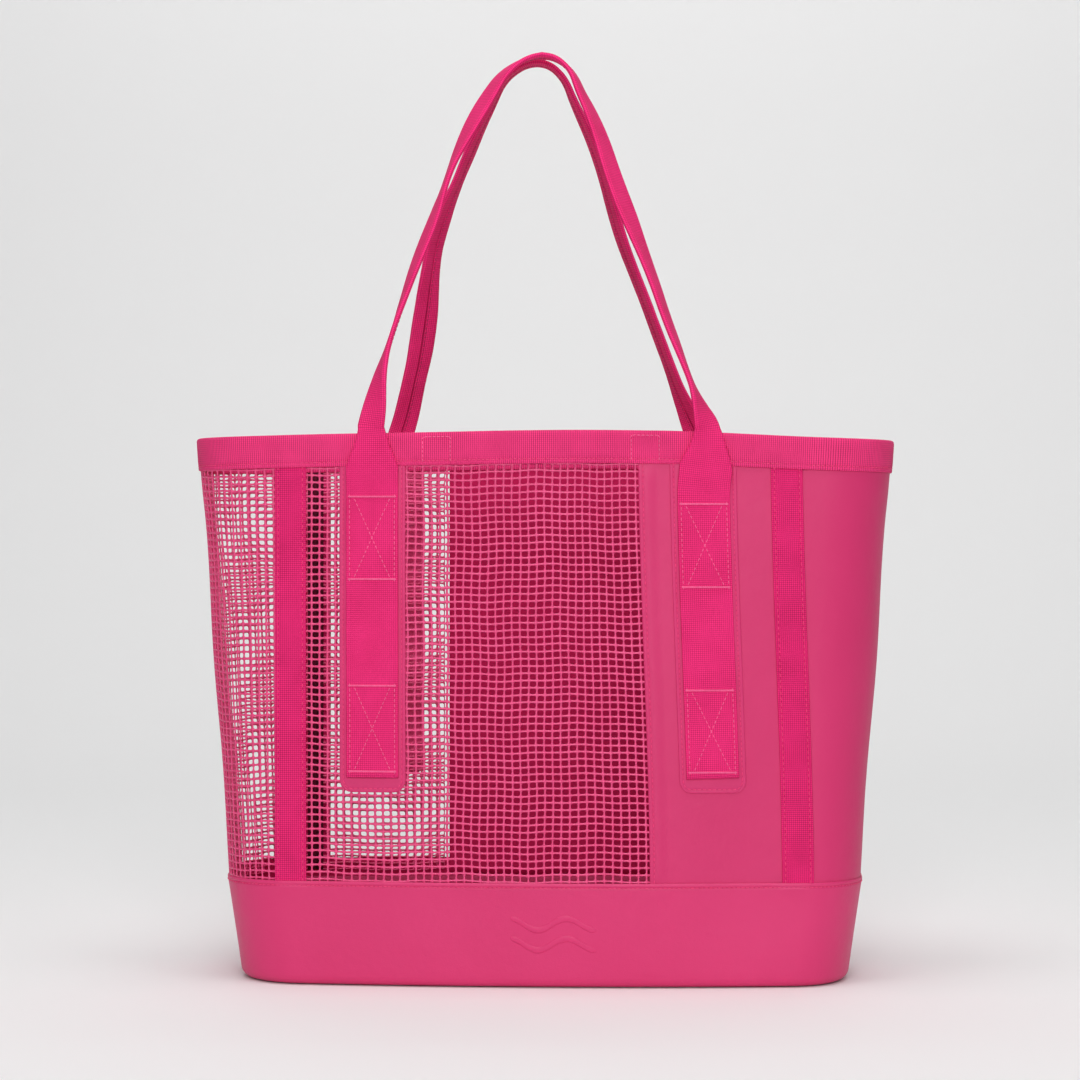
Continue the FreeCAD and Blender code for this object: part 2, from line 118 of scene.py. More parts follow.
def quarter(z):
    """Lengths of the wall arc, the corner arc and the side arc in a quarter of the plan."""
    a, b = half_sizes(z)
    kx, ky = corner_centre(z)
    leave = np.arctan2(ky - b + WALL_BOW, kx)
    meet = np.arctan2(ky, kx - a + SIDE_BOW)
    return WALL_BOW * (math.pi / 2 - leave), CORNER * (leave - meet), SIDE_BOW * meet, leave, meet


def round_wall(s, z, out):
    """The plan point s metres round from the middle of the wall towards the middle of the side."""
    a, b = half_sizes(z)
    kx, ky = corner_centre(z)
    wall, corner, _, leave, meet = quarter(z)
    on_wall, on_corner = s < wall, s < wall + corner
    angle = np.where(
        on_wall,
        math.pi / 2 - s / WALL_BOW,
        np.where(on_corner, leave - (s - wall) / CORNER, meet - (s - wall - corner) / SIDE_BOW),
    )
    cx = np.where(on_wall, 0, np.where(on_corner, kx, a - SIDE_BOW))
    cy = np.where(on_wall, b - WALL_BOW, np.where(on_corner, ky, 0))
    radius = np.where(on_wall, WALL_BOW, np.where(on_corner, CORNER, SIDE_BOW)) + out
    return cx + radius * np.cos(angle), cy + radius * np.sin(angle)


print("quarter of the rim:", [round(float(part), 4) for part in quarter(RIM)[:3]])

# %% [markdown]
# ## How the cloth settles
#
# A sewn bag is never as true as its pattern. The rim droops a little towards its ends, the right half
# of the front leans, and the walls wave by a millimetre or two. One function moves every layer by the
# same smooth amounts, so the layers keep their order.

# %% Settle


def smooth(value, low, high):
    share = np.clip((value - low) / (high - low), 0, 1)
    return share * share * (3 - 2 * share)


def settled(points):
    points = np.array(points, float)
    x, y, z = points[..., 0].copy(), points[..., 1].copy(), points[..., 2].copy()
    up = smooth(z, 0.18, 0.4)
    front = smooth(-y, 0.02, 0.07)
    lean = smooth(x, 0.0, 0.07) * (1 - smooth(x, 0.19, 0.235)) * front
    points[..., 0] += lean * (0.0035 - 0.0085 * smooth(z, 0.06, 0.40))
    points[..., 0] += np.sign(x) * smooth(np.abs(x), 0.19, 0.25) * (0.0012 * up + 0.0006)
    droop = 0.0036 * smooth(-x, 0.02, 0.24) + 0.0062 * smooth(x, 0.09, 0.25)
    points[..., 2] += (0.0008 - droop + 0.0004 * np.sin(x * 31 + 0.7)) * up
    calm = smooth(z, 0.0, 0.06)
    wave = np.sin(x * 23 + 1.1) * np.sin(z * 14 + 0.5) + 0.6 * np.sin(x * 41 - z * 17)
    points[..., 1] += 0.0009 * wave * calm * (1 - smooth(z, 0.33, 0.37)) * np.sign(y)
    side = smooth(np.abs(x), 0.21, 0.24)
    ripple = np.sin(z * 37 + y * 26) + 0.7 * np.sin(z * 23 - y * 48 + 1.3)
    points[..., 0] += 0.0006 * ripple * side * calm * (1 - smooth(z, 0.34, 0.38)) * np.sign(x)
    return points


def grids(*values):
    """The values as arrays that all have one shape."""
    return np.broadcast_arrays(*(np.asarray(value, float) for value in values))


def wall_point(x, z, out, facing):
    """On the front (facing -1) or the back (facing 1), at x, with out as metres outwards."""
    x, z, out = grids(x, z, out)
    depth = half_sizes(z)[1] - WALL_BOW + np.sqrt((WALL_BOW + out) ** 2 - x**2)
    return settled(np.stack([x, facing * depth, z], -1))


def gusset_point(share, z, out, hand):
    """Round a side, share from -1 at the front corner seam to 1 at the back one."""
    share, z, out = grids(share, z, out)
    start = WALL_BOW * math.asin(SEAM_X / WALL_BOW)
    total = sum(quarter(z)[:3])
    x, y = round_wall(total - np.abs(share) * (total - start), z, out)
    return settled(np.stack([hand * x, np.sign(share) * y, z], -1))


def ring_point(share, z, out):
    """All the way round the bag, share from 0 to 1, from the middle of the back and by the right side."""
    share, z, out = grids(share, z, out)
    turn = (share % 1) * 4
    number = np.floor(turn).astype(int) % 4
    part = turn - np.floor(turn)
    part = np.where(number % 2 == 0, part, 1 - part)
    x, y = round_wall(part * sum(quarter(z)[:3]), z, out)
    x = np.where(number < 2, x, -x)
    y = np.where((number == 0) | (number == 3), y, -y)
    return settled(np.stack([x, y, z], -1))


RING_LENGTH = 4 * float(sum(quarter(0.39)[:3]))
print("round the rim:", round(RING_LENGTH, 3))

# %% [markdown]
# ## Sheets with thickness
#
# Nearly every piece is a sheet: an outer face, an inner face and the edges between them. The shell
# helper joins two grids of points into one closed mesh. It also stores a UV map in metres, so
# a weave drawn on it has its true size and follows the piece.

# %% Closed shells


def finish_mesh(name, points, faces, corner_uv, *materials, kinds=None):
    mesh = bpy.data.meshes.new(name)
    mesh.from_pydata(np.asarray(points, float).reshape(-1, 3).tolist(), [], faces)
    layer = mesh.uv_layers.new(name="cloth")
    layer.data.foreach_set("uv", np.asarray(corner_uv, np.float32).ravel())
    for material in materials:
        mesh.materials.append(material)
    if kinds:
        mesh.polygons.foreach_set("material_index", kinds)
    work = bmesh.new()
    work.from_mesh(mesh)
    bmesh.ops.recalc_face_normals(work, faces=work.faces)
    work.to_mesh(mesh)
    work.free()
    mesh.shade_smooth()
    return add_object(name, mesh)


def shell(name, outer, inner, across, along, *materials, closed=False):
    """A sheet between two grids of points, with rows across it and columns along it.

    A second material is for its inner face.
    """
    rows, columns = outer.shape[:2]
    points = np.concatenate([outer.reshape(-1, 3), inner.reshape(-1, 3)])
    last = columns if closed else columns - 1
    faces, uv, kinds = [], [], []

    def place(side, i, j):
        return side * rows * columns + i * columns + j % columns

    def add(corners):
        faces.append([place(*corner) for corner in corners])
        uv.extend((across[i], along[j]) for _, i, j in corners)
        kinds.append(min(len(materials) - 1, corners[0][0] * corners[2][0]))

    for j in range(last):
        for i in range(rows - 1):
            for side in (0, 1):
                add([(side, i, j), (side, i, j + 1), (side, i + 1, j + 1), (side, i + 1, j)])
        for i in (0, rows - 1):
            add([(0, i, j), (1, i, j), (1, i, j + 1), (0, i, j + 1)])
    if not closed:
        for i in range(rows - 1):
            for j in (0, columns - 1):
                add([(0, i, j), (1, i, j), (1, i + 1, j), (0, i + 1, j)])
    return finish_mesh(name, points, faces, uv, *materials, kinds=kinds)


def wall_sheet(name, x, z, outer, inner, facing, across, along, *materials):
    """A shell on the front or the back, between two distances out from the wall."""
    outside, inside = wall_point(x, z, outer, facing), wall_point(x, z, inner, facing)
    return shell(name, outside, inside, across, along, *materials)


def as_columns(profile):
    """The heights and the distances out of a profile, as columns to carry round the ring."""
    heights, outs = np.array(profile).T
    return heights[:, None], outs[:, None]


def ring_sheet(name, outer, inner, profile, share, *materials):
    """A closed shell all the way round the bag, lofted from a profile."""
    lengths = np.cumsum([0] + [math.dist(p, q) for p, q in zip(profile, profile[1:])])
    return shell(name, outer, inner, lengths, np.append(share, 1) * RING_LENGTH, *materials, closed=True)


def sew(piece, body, slot, *replaced):
    """The piece rides on its body, and stands for its solids."""
    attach(piece, body)
    if replaced:
        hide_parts(*replaced)
    print(f"{piece.name}: {len(piece.data.polygons)} faces")
    return piece


# %% [markdown]
# ## Finishes
#
# All the cloth is one strong pink, but each kind takes light its own way: the coated fabric is smooth
# with a fine grain, the webbing is a dull weave, and the net's coated bars shine. Each finish is a
# small node tree. A helper keeps them short: it adds nodes, joins them and gives back the last one.

# %% A helper for node trees


def tone(red, green, blue):
    """A colour as the eye names it, 0 to 255, turned into linear light."""
    return tuple(
        (c / 255 / 12.92 if c <= 10 else ((c / 255 + 0.055) / 1.055) ** 2.4) for c in (red, green, blue)
    ) + (1,)


class Finish:
    def __init__(self, name, roughness, **sockets):
        self.material = bpy.data.materials.new(name)
        self.material.use_nodes = True
        self.tree = self.material.node_tree
        self.shader = self.tree.nodes["Principled BSDF"]
        self.shader.inputs["Roughness"].default_value = roughness
        for socket, value in sockets.items():
            self.shader.inputs[socket.replace("_", " ")].default_value = value

    def node(self, kind, **settings):
        made = self.tree.nodes.new("ShaderNode" + kind)
        for key, value in settings.items():
            setattr(made, key, value)
        return made

    def put(self, value, socket):
        if isinstance(value, bpy.types.NodeSocket):
            self.tree.links.new(value, socket)
        else:
            socket.default_value = value

    def maths(self, operation, *values):
        made = self.node("Math", operation=operation)
        for value, socket in zip(values, made.inputs):
            self.put(value, socket)
        return made.outputs[0]

    def noise(self, place, scale, detail=2):
        made = self.node("TexNoise")
        self.put(place, made.inputs["Vector"])
        made.inputs["Scale"].default_value = scale
        made.inputs["Detail"].default_value = detail
        return made.outputs["Fac"]

    def mix(self, share, first, second):
        made = self.node("Mix", data_type="RGBA")
        for value, index in ((share, 0), (first, 6), (second, 7)):
            self.put(value, made.inputs[index])
        return made.outputs[2]

    def colour(self, value):
        self.put(value, self.shader.inputs["Base Color"])

    def bump(self, height, distance, strength=1.0):
        made = self.node("Bump")
        made.inputs["Distance"].default_value = distance
        made.inputs["Strength"].default_value = strength
        self.put(height, made.inputs["Height"])
        self.put(made.outputs[0], self.shader.inputs["Normal"])

    def place(self):
        return self.node("TexCoord").outputs["Object"]

    def cloth(self):
        split = self.node("SeparateXYZ")
        self.put(self.node("UVMap", uv_map="cloth").outputs[0], split.inputs[0])
        return split.outputs[0], split.outputs[1]


# %% [markdown]
# The coated fabric is a thin knit under a smooth plastic face. Its grain is much finer than
# a millimetre, so it only breaks up the light, and slow cloudy patches keep the colour alive.

# %% Coated fabric


def coated(name, bright, deep, roughness, grain):
    finish = Finish(name, roughness, Specular_IOR_Level=0.35)
    place = finish.place()
    cloudy = finish.noise(place, 9, 3)
    fine = finish.noise(place, grain, 2)
    finish.colour(finish.mix(finish.maths("MULTIPLY_ADD", cloudy, 0.9, -0.1), tone(*deep), tone(*bright)))
    creases = finish.noise(place, 55, 3)
    finish.bump(finish.maths("MULTIPLY_ADD", fine, 0.25, finish.maths("MULTIPLY", creases, 1.4)), 0.0006, 0.8)
    return finish.material


coated_wall = coated("coated fabric", (220, 54, 116), (206, 44, 104), 0.5, 1400)
coated_base = coated("coated fabric of the base", (226, 60, 122), (212, 48, 108), 0.46, 1400)
coated_patch = coated("coated fabric of the patches", (222, 58, 120), (208, 46, 108), 0.52, 1400)
# The inner face of the coated fabric is a darker, deeper pink, as painted shade of the bag's inside.
coated_inside_painted_shade = coated("backing of the coated fabric", (204, 8, 90), (186, 2, 76), 0.8, 900)

# %% [markdown]
# The webbing is a plain weave with yarns about 1.45 mm apart both ways, which reads as a grid of small
# squares. A sine across and a sine along the strap make it, from the UV map in metres, and the gaps
# between yarns are painted darker, as painted shade. The rim's webbing has stronger ribs across it than along
# it.

# %% Webbing


def webbing(name, bright, deep, yarn=0.00145, across_depth=0.7, along_depth=0.7):
    """The depths, 0 to 1, say how deep the gaps are between yarns that lie side by side each way."""
    finish = Finish(name, 0.74, Specular_IOR_Level=0.25)
    across, along = finish.cloth()

    def yarns(place, depth):
        wave = finish.maths("ABSOLUTE", finish.maths("SINE", finish.maths("MULTIPLY", place, math.pi / yarn)))
        return finish.maths("MULTIPLY_ADD", finish.maths("POWER", wave, 0.7), depth, 1 - depth)

    height = finish.maths("MULTIPLY", yarns(across, across_depth), yarns(along, along_depth))
    cloudy = finish.noise(finish.place(), 40, 3)
    # The colour runs from deep in the gaps to bright on the yarns: painted shade between the yarns.
    light = finish.maths("MULTIPLY_ADD", height, 1.15, finish.maths("MULTIPLY_ADD", cloudy, 0.5, -0.30))
    finish.colour(finish.mix(light, tone(*deep), tone(*bright)))
    finish.bump(height, 0.0005, 0.9)
    return finish.material


strap_webbing = webbing("handle webbing", (255, 48, 132), (182, 6, 68))
rim_webbing = webbing("rim webbing", (254, 62, 134), (156, 14, 66), across_depth=0.35, along_depth=0.85)
strip_webbing = webbing("corner strip webbing", (250, 40, 126), (154, 2, 58))
# The seam tape's dark colour is painted shade of the seam inside the bag.
seam_tape = webbing("seam tape", (104, 2, 44), (60, 0, 22), yarn=0.0011)

# %% [markdown]
# Thread, net, lining and board are simpler: two colours in soft patches, and a fine grain. The net's
# yarns are coated, so a clear coat gives the small highlights along its bars.

# %% Thread, net, lining and board


def speckled(name, roughness, deep, bright, patches, grain, depth, **sockets):
    """Patches and grain are each (scale, detail) of a noise, and depth is the grain's (metres, strength)."""
    finish = Finish(name, roughness, **sockets)
    place = finish.place()
    finish.colour(finish.mix(finish.noise(place, *patches), tone(*deep), tone(*bright)))
    finish.bump(finish.noise(place, *grain), *depth)
    return finish.material


def sewing_thread(name, deep, bright):
    return speckled(name, 0.5, deep, bright, (700, 2), (2600, 2), (0.0001, 0.4))


thread = sewing_thread("sewing thread", (222, 36, 106), (248, 74, 138))
# The loops' seam thread is dark as painted shade of the gap where the folded edges of the strap meet.
seam_shade_thread = sewing_thread("sewing thread darkened as seam shade", (132, 2, 52), (170, 10, 74))
pale_thread = sewing_thread("pale sewing thread", (236, 70, 132), (255, 118, 172))
net_cloth = speckled(
    "coated net", 0.42, (226, 54, 116), (246, 84, 144), (40, 3), (1500, 2), (0.0002, 0.5),
    Coat_Weight=0.25, Coat_Roughness=0.25,
)
lining_cloth = speckled("base lining", 0.8, (168, 28, 78), (190, 40, 94), (60, 3), (1800, 2), (0.0004, 0.6))
board = speckled("stiffener board", 0.7, (206, 200, 190), (228, 224, 216), (180, 4), (900, 3), (0.0003, 0.5))
nodes["base_board"].data.materials.clear()
nodes["base_board"].data.materials.append(board)
print("finishes:", len(bpy.data.materials))

# %% [markdown]
# ## The net
#
# The net is thousands of equal cells, so it is made with Geometry Nodes. One cell is a hole with
# round corners in a frame of half bars, thick at its outer edge and thin at the hole. The tree sets
# it on a grid and joins the copies, so two halves meet as one round bar. Another way is to cut holes in
# a sheet, which is slow and leaves flat bars.

# %% One cell of the net
CELL_ACROSS, CELL_UP, BAR, BAR_DEEP = 0.00587, 0.0052, 0.00145, 0.00115


def net_cell():
    px, py = CELL_ACROSS / 2, CELL_UP / 2
    hx, hy = px - BAR / 2, py - BAR / 2
    r = 0.0011
    k = r * (1 - math.sqrt(0.5))
    hole, rim = [], []
    for sx, sy in ((1, 1), (-1, 1), (-1, -1), (1, -1)):
        corner_hole = [(hx, hy - r), (hx - k, hy - k), (hx - r, hy)]
        corner_rim = [(px, hy - r), (px, py), (hx - r, py)]
        order = (0, 1, 2) if sx * sy > 0 else (2, 1, 0)
        hole += [(sx * corner_hole[n][0], sy * corner_hole[n][1]) for n in order]
        rim += [(sx * corner_rim[n][0], sy * corner_rim[n][1]) for n in order]
    points = [(x, y, 0) for x, y in hole]
    points += [(x, y, BAR_DEEP / 2) for x, y in rim]
    points += [(x, y, -BAR_DEEP / 2) for x, y in rim]
    faces = []
    for n in range(12):
        m = (n + 1) % 12
        faces.append((n, n + 12, m + 12, m))
        faces.append((n, m, m + 24, n + 24))
    mesh = bpy.data.meshes.new("net_cell")
    mesh.from_pydata(points, [], faces)
    mesh.shade_smooth()
    return add_object("net_cell", mesh)


cell = net_cell()
print("cell faces:", len(cell.data.polygons))

# %% [markdown]
# A Geometry Nodes tree is a chain of nodes too. This helper makes one with named inputs for its sizes,
# and ends every tree in the same way: the copies become real, points that meet are joined, and
# the finish is set.

# %% A helper for Geometry Nodes trees
MERGE_WITHIN = 1e-6


class Tree:
    def __init__(self, name, **inputs):
        self.group = bpy.data.node_groups.new(name, "GeometryNodeTree")
        face = self.group.interface
        face.new_socket("Geometry", in_out="INPUT", socket_type="NodeSocketGeometry")
        for label, kind in inputs.items():
            face.new_socket(label.replace("_", " "), in_out="INPUT", socket_type="NodeSocket" + kind)
        face.new_socket("Geometry", in_out="OUTPUT", socket_type="NodeSocketGeometry")
        self.given = self.group.nodes.new("NodeGroupInput").outputs
        self.result = self.group.nodes.new("NodeGroupOutput").inputs[0]

    def add(self, kind, *links, **settings):
        """A node with links given as (its input, value or socket)."""
        node = self.group.nodes.new(kind)
        for key, value in settings.items():
            setattr(node, key, value)
        for index, value in links:
            if isinstance(value, bpy.types.NodeSocket):
                self.group.links.new(value, node.inputs[index])
            else:
                node.inputs[index].default_value = value
        return node.outputs

    def finish(self, geometry, material):
        whole = self.add("GeometryNodeRealizeInstances", (0, geometry))
        merged = self.add("GeometryNodeMergeByDistance", ("Geometry", whole[0]), ("Distance", MERGE_WITHIN))
        done = self.add("GeometryNodeSetMaterial", ("Geometry", merged[0]), ("Material", material))
        self.group.links.new(done[0], self.result)


def grow(base, tree, **values):
    """What the tree makes from the base object, as a plain mesh object of the same name."""
    modifier = base.modifiers.new("tree", "NODES")
    modifier.node_group = tree.group
    for item in tree.group.interface.items_tree:
        if item.in_out == "INPUT" and item.name.replace(" ", "_") in values:
            modifier[item.identifier] = values[item.name.replace(" ", "_")]
    bpy.context.view_layer.update()
    made = bpy.data.meshes.new_from_object(base.evaluated_get(bpy.context.evaluated_depsgraph_get()))
    base.modifiers.remove(modifier)
    base.data = made
    return base


net_tree = Tree(
    "net", Columns="Int", Rows="Int", Pitch_Across="Float", Pitch_Up="Float", Cell="Object", Finish="Material"
)


def net_span(count, pitch):
    """How far the cells reach from the middle of the first to the middle of the last."""
    gaps = net_tree.add("ShaderNodeMath", (0, net_tree.given[count]), (1, 1.0), operation="SUBTRACT")
    return net_tree.add("ShaderNodeMath", (0, gaps[0]), (1, net_tree.given[pitch]), operation="MULTIPLY")[0]


spots = net_tree.add(
    "GeometryNodeMeshGrid", (0, net_span("Columns", "Pitch Across")), (1, net_span("Rows", "Pitch Up")),
    (2, net_tree.given["Columns"]), (3, net_tree.given["Rows"]),
)
shape = net_tree.add("GeometryNodeObjectInfo", ("Object", net_tree.given["Cell"]))
cells = net_tree.add("GeometryNodeInstanceOnPoints", ("Points", spots[0]), ("Instance", shape["Geometry"]))
net_tree.finish(cells[0], net_tree.given["Finish"])

# %% [markdown]
# The flat net is then laid on the wall. Its rows wave gently as a stretched net does, by moving the
# cells a fraction of a bar, and its cut edges are closed.

# %% Lay the nets on the walls
NET_LOW, NET_HIGH, NET_MIDDLE = 0.066, 0.386, 0.0005


def net_piece(name, width, lay, node):
    columns = round(width / CELL_ACROSS)
    rows = round((NET_HIGH - NET_LOW) / CELL_UP)
    base = add_object(name, bpy.data.meshes.new(name))
    grow(
        base, net_tree,
        Columns=columns, Rows=rows, Pitch_Across=CELL_ACROSS, Pitch_Up=CELL_UP, Cell=cell, Finish=net_cloth,
    )
    work = bmesh.new()
    work.from_mesh(base.data)
    edges = [edge for edge in work.edges if len(edge.link_faces) == 1]
    bmesh.ops.bridge_loops(work, edges=edges)
    bmesh.ops.recalc_face_normals(work, faces=work.faces)
    work.to_mesh(base.data)
    work.free()
    base.data.shade_smooth()
    flat = np.zeros(len(base.data.vertices) * 3)
    base.data.vertices.foreach_get("co", flat)
    flat = flat.reshape(-1, 3)
    share = flat[:, 0] / (columns * CELL_ACROSS) + 0.5
    z = NET_LOW + (flat[:, 1] / (rows * CELL_UP) + 0.5) * (NET_HIGH - NET_LOW)
    z = z + 0.0006 * np.sin(share * width * 60 + z * 9) + 0.0003 * np.sin(share * width * 190 + z * 31)
    base.data.vertices.foreach_set("co", lay(share, z, NET_MIDDLE + flat[:, 2]).ravel())
    base.data.update()
    triangles = sum(len(face.vertices) - 2 for face in base.data.polygons)
    print(name, "cells:", columns * rows, "triangles:", triangles)
    return sew(base, "bag", "net", node)


def wavy(share, z, width):
    return 0.0005 * np.sin(z * 75 + share * width * 21) * np.sin(share * math.pi)


def on_wall(start, width, facing):
    """Lays a net on the front or the back, with columns that waver a little."""
    return lambda s, z, out: wall_point(start + s * width + wavy(s, z, width), z, out, facing)


NET_START = -SEAM_X - 0.002
for wall, facing, net_end in (("front", -1, 0.0785), ("back", 1, -0.0815)):
    net_width = net_end - NET_START
    net_piece(f"{wall}_net", net_width, on_wall(NET_START, net_width, facing), f"{wall}_mesh_panel")
side_length = 2 * float(sum(quarter(0.24)[:3]) - WALL_BOW * math.asin(SEAM_X / WALL_BOW))
net_piece(
    "left_side_net", side_length, lambda s, z, out: gusset_point(2 * s - 1, z, out, -1), "left_side_mesh"
)
bpy.data.objects.remove(cell)

# %% [markdown]
# ## Coated panels
#
# Three panels close the rest of the wall: one in front, one at the back and one round the right side.
# Where a panel meets a net, its folded edge lies over the net's, so it is lifted there by a millimetre.

# %% Coated panels
PANEL_LOW, PANEL_HIGH = 0.0625, 0.398
FOLD_SPOTS = np.array([0.0003, 0.0008, 0.0024, 0.0032, 0.0040, 0.007, 0.010, 0.014])


def ease_edge(places, edge, drop=0.6):
    """1 inside, falling off within the last of a sheet's edge, for a worn or folded edge."""
    near = np.minimum(places - places[0], places[-1] - places)
    return 1 - drop * (1 - smooth(near, 0, edge))


def wall_panel(name, low_x, high_x, facing, lap, node):
    """A panel from low_x to high_x. lap is the x of the edge that lies over the net."""
    inwards = np.sign(0.5 * (low_x + high_x) - lap)
    x = np.unique(np.concatenate([np.linspace(low_x, high_x, 36), lap + inwards * FOLD_SPOTS]))
    z = np.linspace(PANEL_LOW, PANEL_HIGH, 64)
    away = np.abs(x - lap)
    lift = 0.0012 * (1 - smooth(away, 0.006, 0.014)) - 0.00035 * np.exp(-(((away - 0.0032) / 0.0007) ** 2))
    lift = lift - 0.0004 * (1 - smooth(away, 0, 0.0008))
    lift = lift[:, None] * smooth(z, 0.0745, 0.0785) * (1 - smooth(z, 0.374, 0.377))
    outer, inner = 0.001 + lift, lift * 0.9 + 0.0001
    piece = wall_sheet(name, x[:, None], z[None, :], outer, inner, facing, x, z, coated_wall, coated_inside_painted_shade)
    sew(piece, "bag", "coated_fabric", node)


wall_panel("front_coated_panel", 0.075, SEAM_X + 0.001, -1, 0.075, "front_solid_panel")
wall_panel("back_coated_panel", -0.078, SEAM_X + 0.001, 1, -0.078, "back_solid_panel")

share = np.linspace(-1, 1, 81)
z = np.linspace(PANEL_LOW, PANEL_HIGH, 64)
side_panel = shell(
    "right_side_coated_panel",
    gusset_point(share[:, None], z[None, :], 0.001, 1), gusset_point(share[:, None], z[None, :], 0.0001, 1),
    share * side_length / 2, z, coated_wall, coated_inside_painted_shade,
)
sew(side_panel, "bag", "coated_fabric", "right_side_panel")

# %% [markdown]
# ## Corner strips and seam tapes
#
# A strip of webbing covers each corner seam from outside, and a tape binds it inside; the tape's dark colour
# is painted shade of the seam inside the bag. A sewn strip is not flat across: its edges are round, and each
# row of stitches pulls a shallow groove. The list of places across the strip has more points there.

# %% Across a sewn strip
STITCH_INSET = 0.0025


def sewn_profile(width, inset=STITCH_INSET, groove=0.3):
    """Places across, from edge to edge, and the height there as a share of the thickness."""
    half = width / 2
    half_places = [0, 0.00025, 0.0008, inset - 0.0009, inset - 0.0004]
    half_places += [inset, inset + 0.0004, inset + 0.0009, inset + 0.002]
    half_heights = [0.35, 0.75, 1, 1, 1 - 0.6 * groove, 1 - groove, 1 - 0.6 * groove, 1, 1.05]
    places = [p - half for p in half_places] + [-half * 0.35, 0, half * 0.35]
    places += [half - p for p in reversed(half_places)]
    heights = half_heights + [1.08, 1.1, 1.08] + half_heights[::-1]
    return np.array(places), np.array(heights)


STRIP_WIDTH, STRIP_LOW, STRIP_HIGH, STRIP_THICK = 0.023, 0.070, 0.382, 0.0013
TAPE_WIDTH, TAPE_LOW, TAPE_HIGH, TAPE_THICK = 0.012, 0.0665, 0.3757, 0.0009


def strip_level(z, low, high):
    """The strip dives a little where it runs under the band and under the binding."""
    return 1 - 0.55 * (1 - smooth(z, low, low + 0.003)) - 0.55 * smooth(z, high - 0.003, high)


across, lift = sewn_profile(STRIP_WIDTH)
up = np.linspace(STRIP_LOW, STRIP_HIGH, 90)
height = STRIP_THICK * lift[:, None] * strip_level(up, BAND_TOP, RIM_LOW)[None, :]
tape_across, tape_lift = sewn_profile(TAPE_WIDTH)
tape_up = np.linspace(TAPE_LOW, TAPE_HIGH, 60)
tape_height = TAPE_THICK * tape_lift[:, None]
for facing, wall in ((-1, "front"), (1, "back")):
    for hand, side in ((-1, "left"), (1, "right")):
        x = hand * SEAM_X + across[:, None]
        strip = wall_sheet(
            f"{wall}_{side}_strip", x, up[None, :], 0.0011 + height, 0.00105, facing,
            across, up, strip_webbing,
        )
        sew(strip, "bag", "webbing", f"{wall}_{side}_corner_strip")
        x = hand * SEAM_X + tape_across[:, None]
        tape = wall_sheet(
            f"{wall}_{side}_tape", x, tape_up[None, :], -0.0001 - tape_height, -0.00005, facing,
            tape_across, tape_up, seam_tape,
        )
        sew(tape, "bag", "seam_tape", f"{wall}_{side}_seam_tape")

# %% [markdown]
# ## Base
#
# The band is one ring of coated fabric that turns under at the floor, with a hem at its top edge. It
# is lofted: the same outline at each height, in and out by the profile.

# %% Base band
BASE_EDGE, BAND_FACE, BAND_BACK, FABRIC = 0.007, 0.002, 0.00105, 0.001


def turned_edge(radius):
    """The rounded lower edge, from under the bag up to the face of the band."""
    middle = BAND_FACE - BASE_EDGE
    turns = np.radians(np.linspace(90, 0, 8))
    return [(BASE_EDGE - radius * math.sin(t), middle + radius * math.cos(t)) for t in turns]


def over_strip(place):
    """1 where a ring passes over a corner strip, and 0 away from it."""
    near = np.exp(-(((np.abs(place[..., 0]) - SEAM_X) / 0.0105) ** 8))
    return near * (np.abs(place[..., 1]) > 0.07)


def band_grid(profile, bulge):
    z, out = as_columns(profile)
    return ring_point(band_share[None, :], z, out + bulge * strips[None, :] * smooth(z, 0.066, 0.0715))


plain = [(z, 0) for z in (0.012, 0.020, 0.030, 0.040, 0.050, 0.060)]
hem = [(0.067, 0.0001), (0.0705, 0.0002), (0.0714, 0.0002), (0.0719, 0), (0.0722, -0.0002), (0.0725, 0)]
hem += [(0.0730, 0.0002), (0.0738, 0.0003), (0.0748, 0.0002), (0.0753, -0.0001), (BAND_TOP, -0.0005)]
band_outer = turned_edge(BASE_EDGE) + [(z, BAND_FACE + rise) for z, rise in plain + hem]
band_inner = turned_edge(BASE_EDGE - FABRIC) + [(z, BAND_BACK) for z, _ in plain + hem]
band_share = np.arange(360) / 360
strips = over_strip(ring_point(band_share, 0.07, BAND_FACE))
band = ring_sheet(
    "base_band", band_grid(band_outer, 0.0007), band_grid(band_inner, 0.0006),
    band_outer, band_share, coated_base, coated_inside_painted_shade,
)
sew(band, "bag", "coated_fabric", "base_band")

# %% [markdown]
# The middle of the band has a faint raised mark, made by pressing the warm coating over a stamp. It is
# a generic one here, two waves. Each is a narrow ridge that follows the face, so it is a closed shell.

# %% Mark
MARK_X, MARK_HALF, MARK_RIDGE, MARK_RISE = 0.008, 0.030, 0.0024, 0.0005
mark_along = np.linspace(-1, 1, 97)
mark_across = np.linspace(-1, 1, 9)
taper = np.sqrt(np.clip(1 - np.abs(mark_along) ** 14, 0.0004, 1))
for name, mark_height in (("upper_wave", 0.0460), ("lower_wave", 0.0315)):
    mark_x = MARK_X + MARK_HALF * mark_along[:, None] + 0 * mark_across[None, :]
    wave = mark_height + 0.0042 * np.sin(mark_along * 1.5 * math.pi)
    mark_z = wave[:, None] + MARK_RIDGE * taper[:, None] * mark_across[None, :]
    ridge = MARK_RISE * taper[:, None] * (1 - mark_across[None, :] ** 4)
    mark = wall_sheet(
        name, mark_x, mark_z, BAND_FACE + ridge, 0.0017, -1,
        mark_along * MARK_HALF, mark_across * MARK_RIDGE, coated_base,
    )
    sew(mark, "bag", "coated_fabric")

# %% [markdown]
# The bottom is a flat coated sheet inside the band's turned edge, and the lining is a shallow tub
# above the board. A sheet with a filled outline is a loft too: its rings shrink towards one middle point.

# %% Bottom and lining


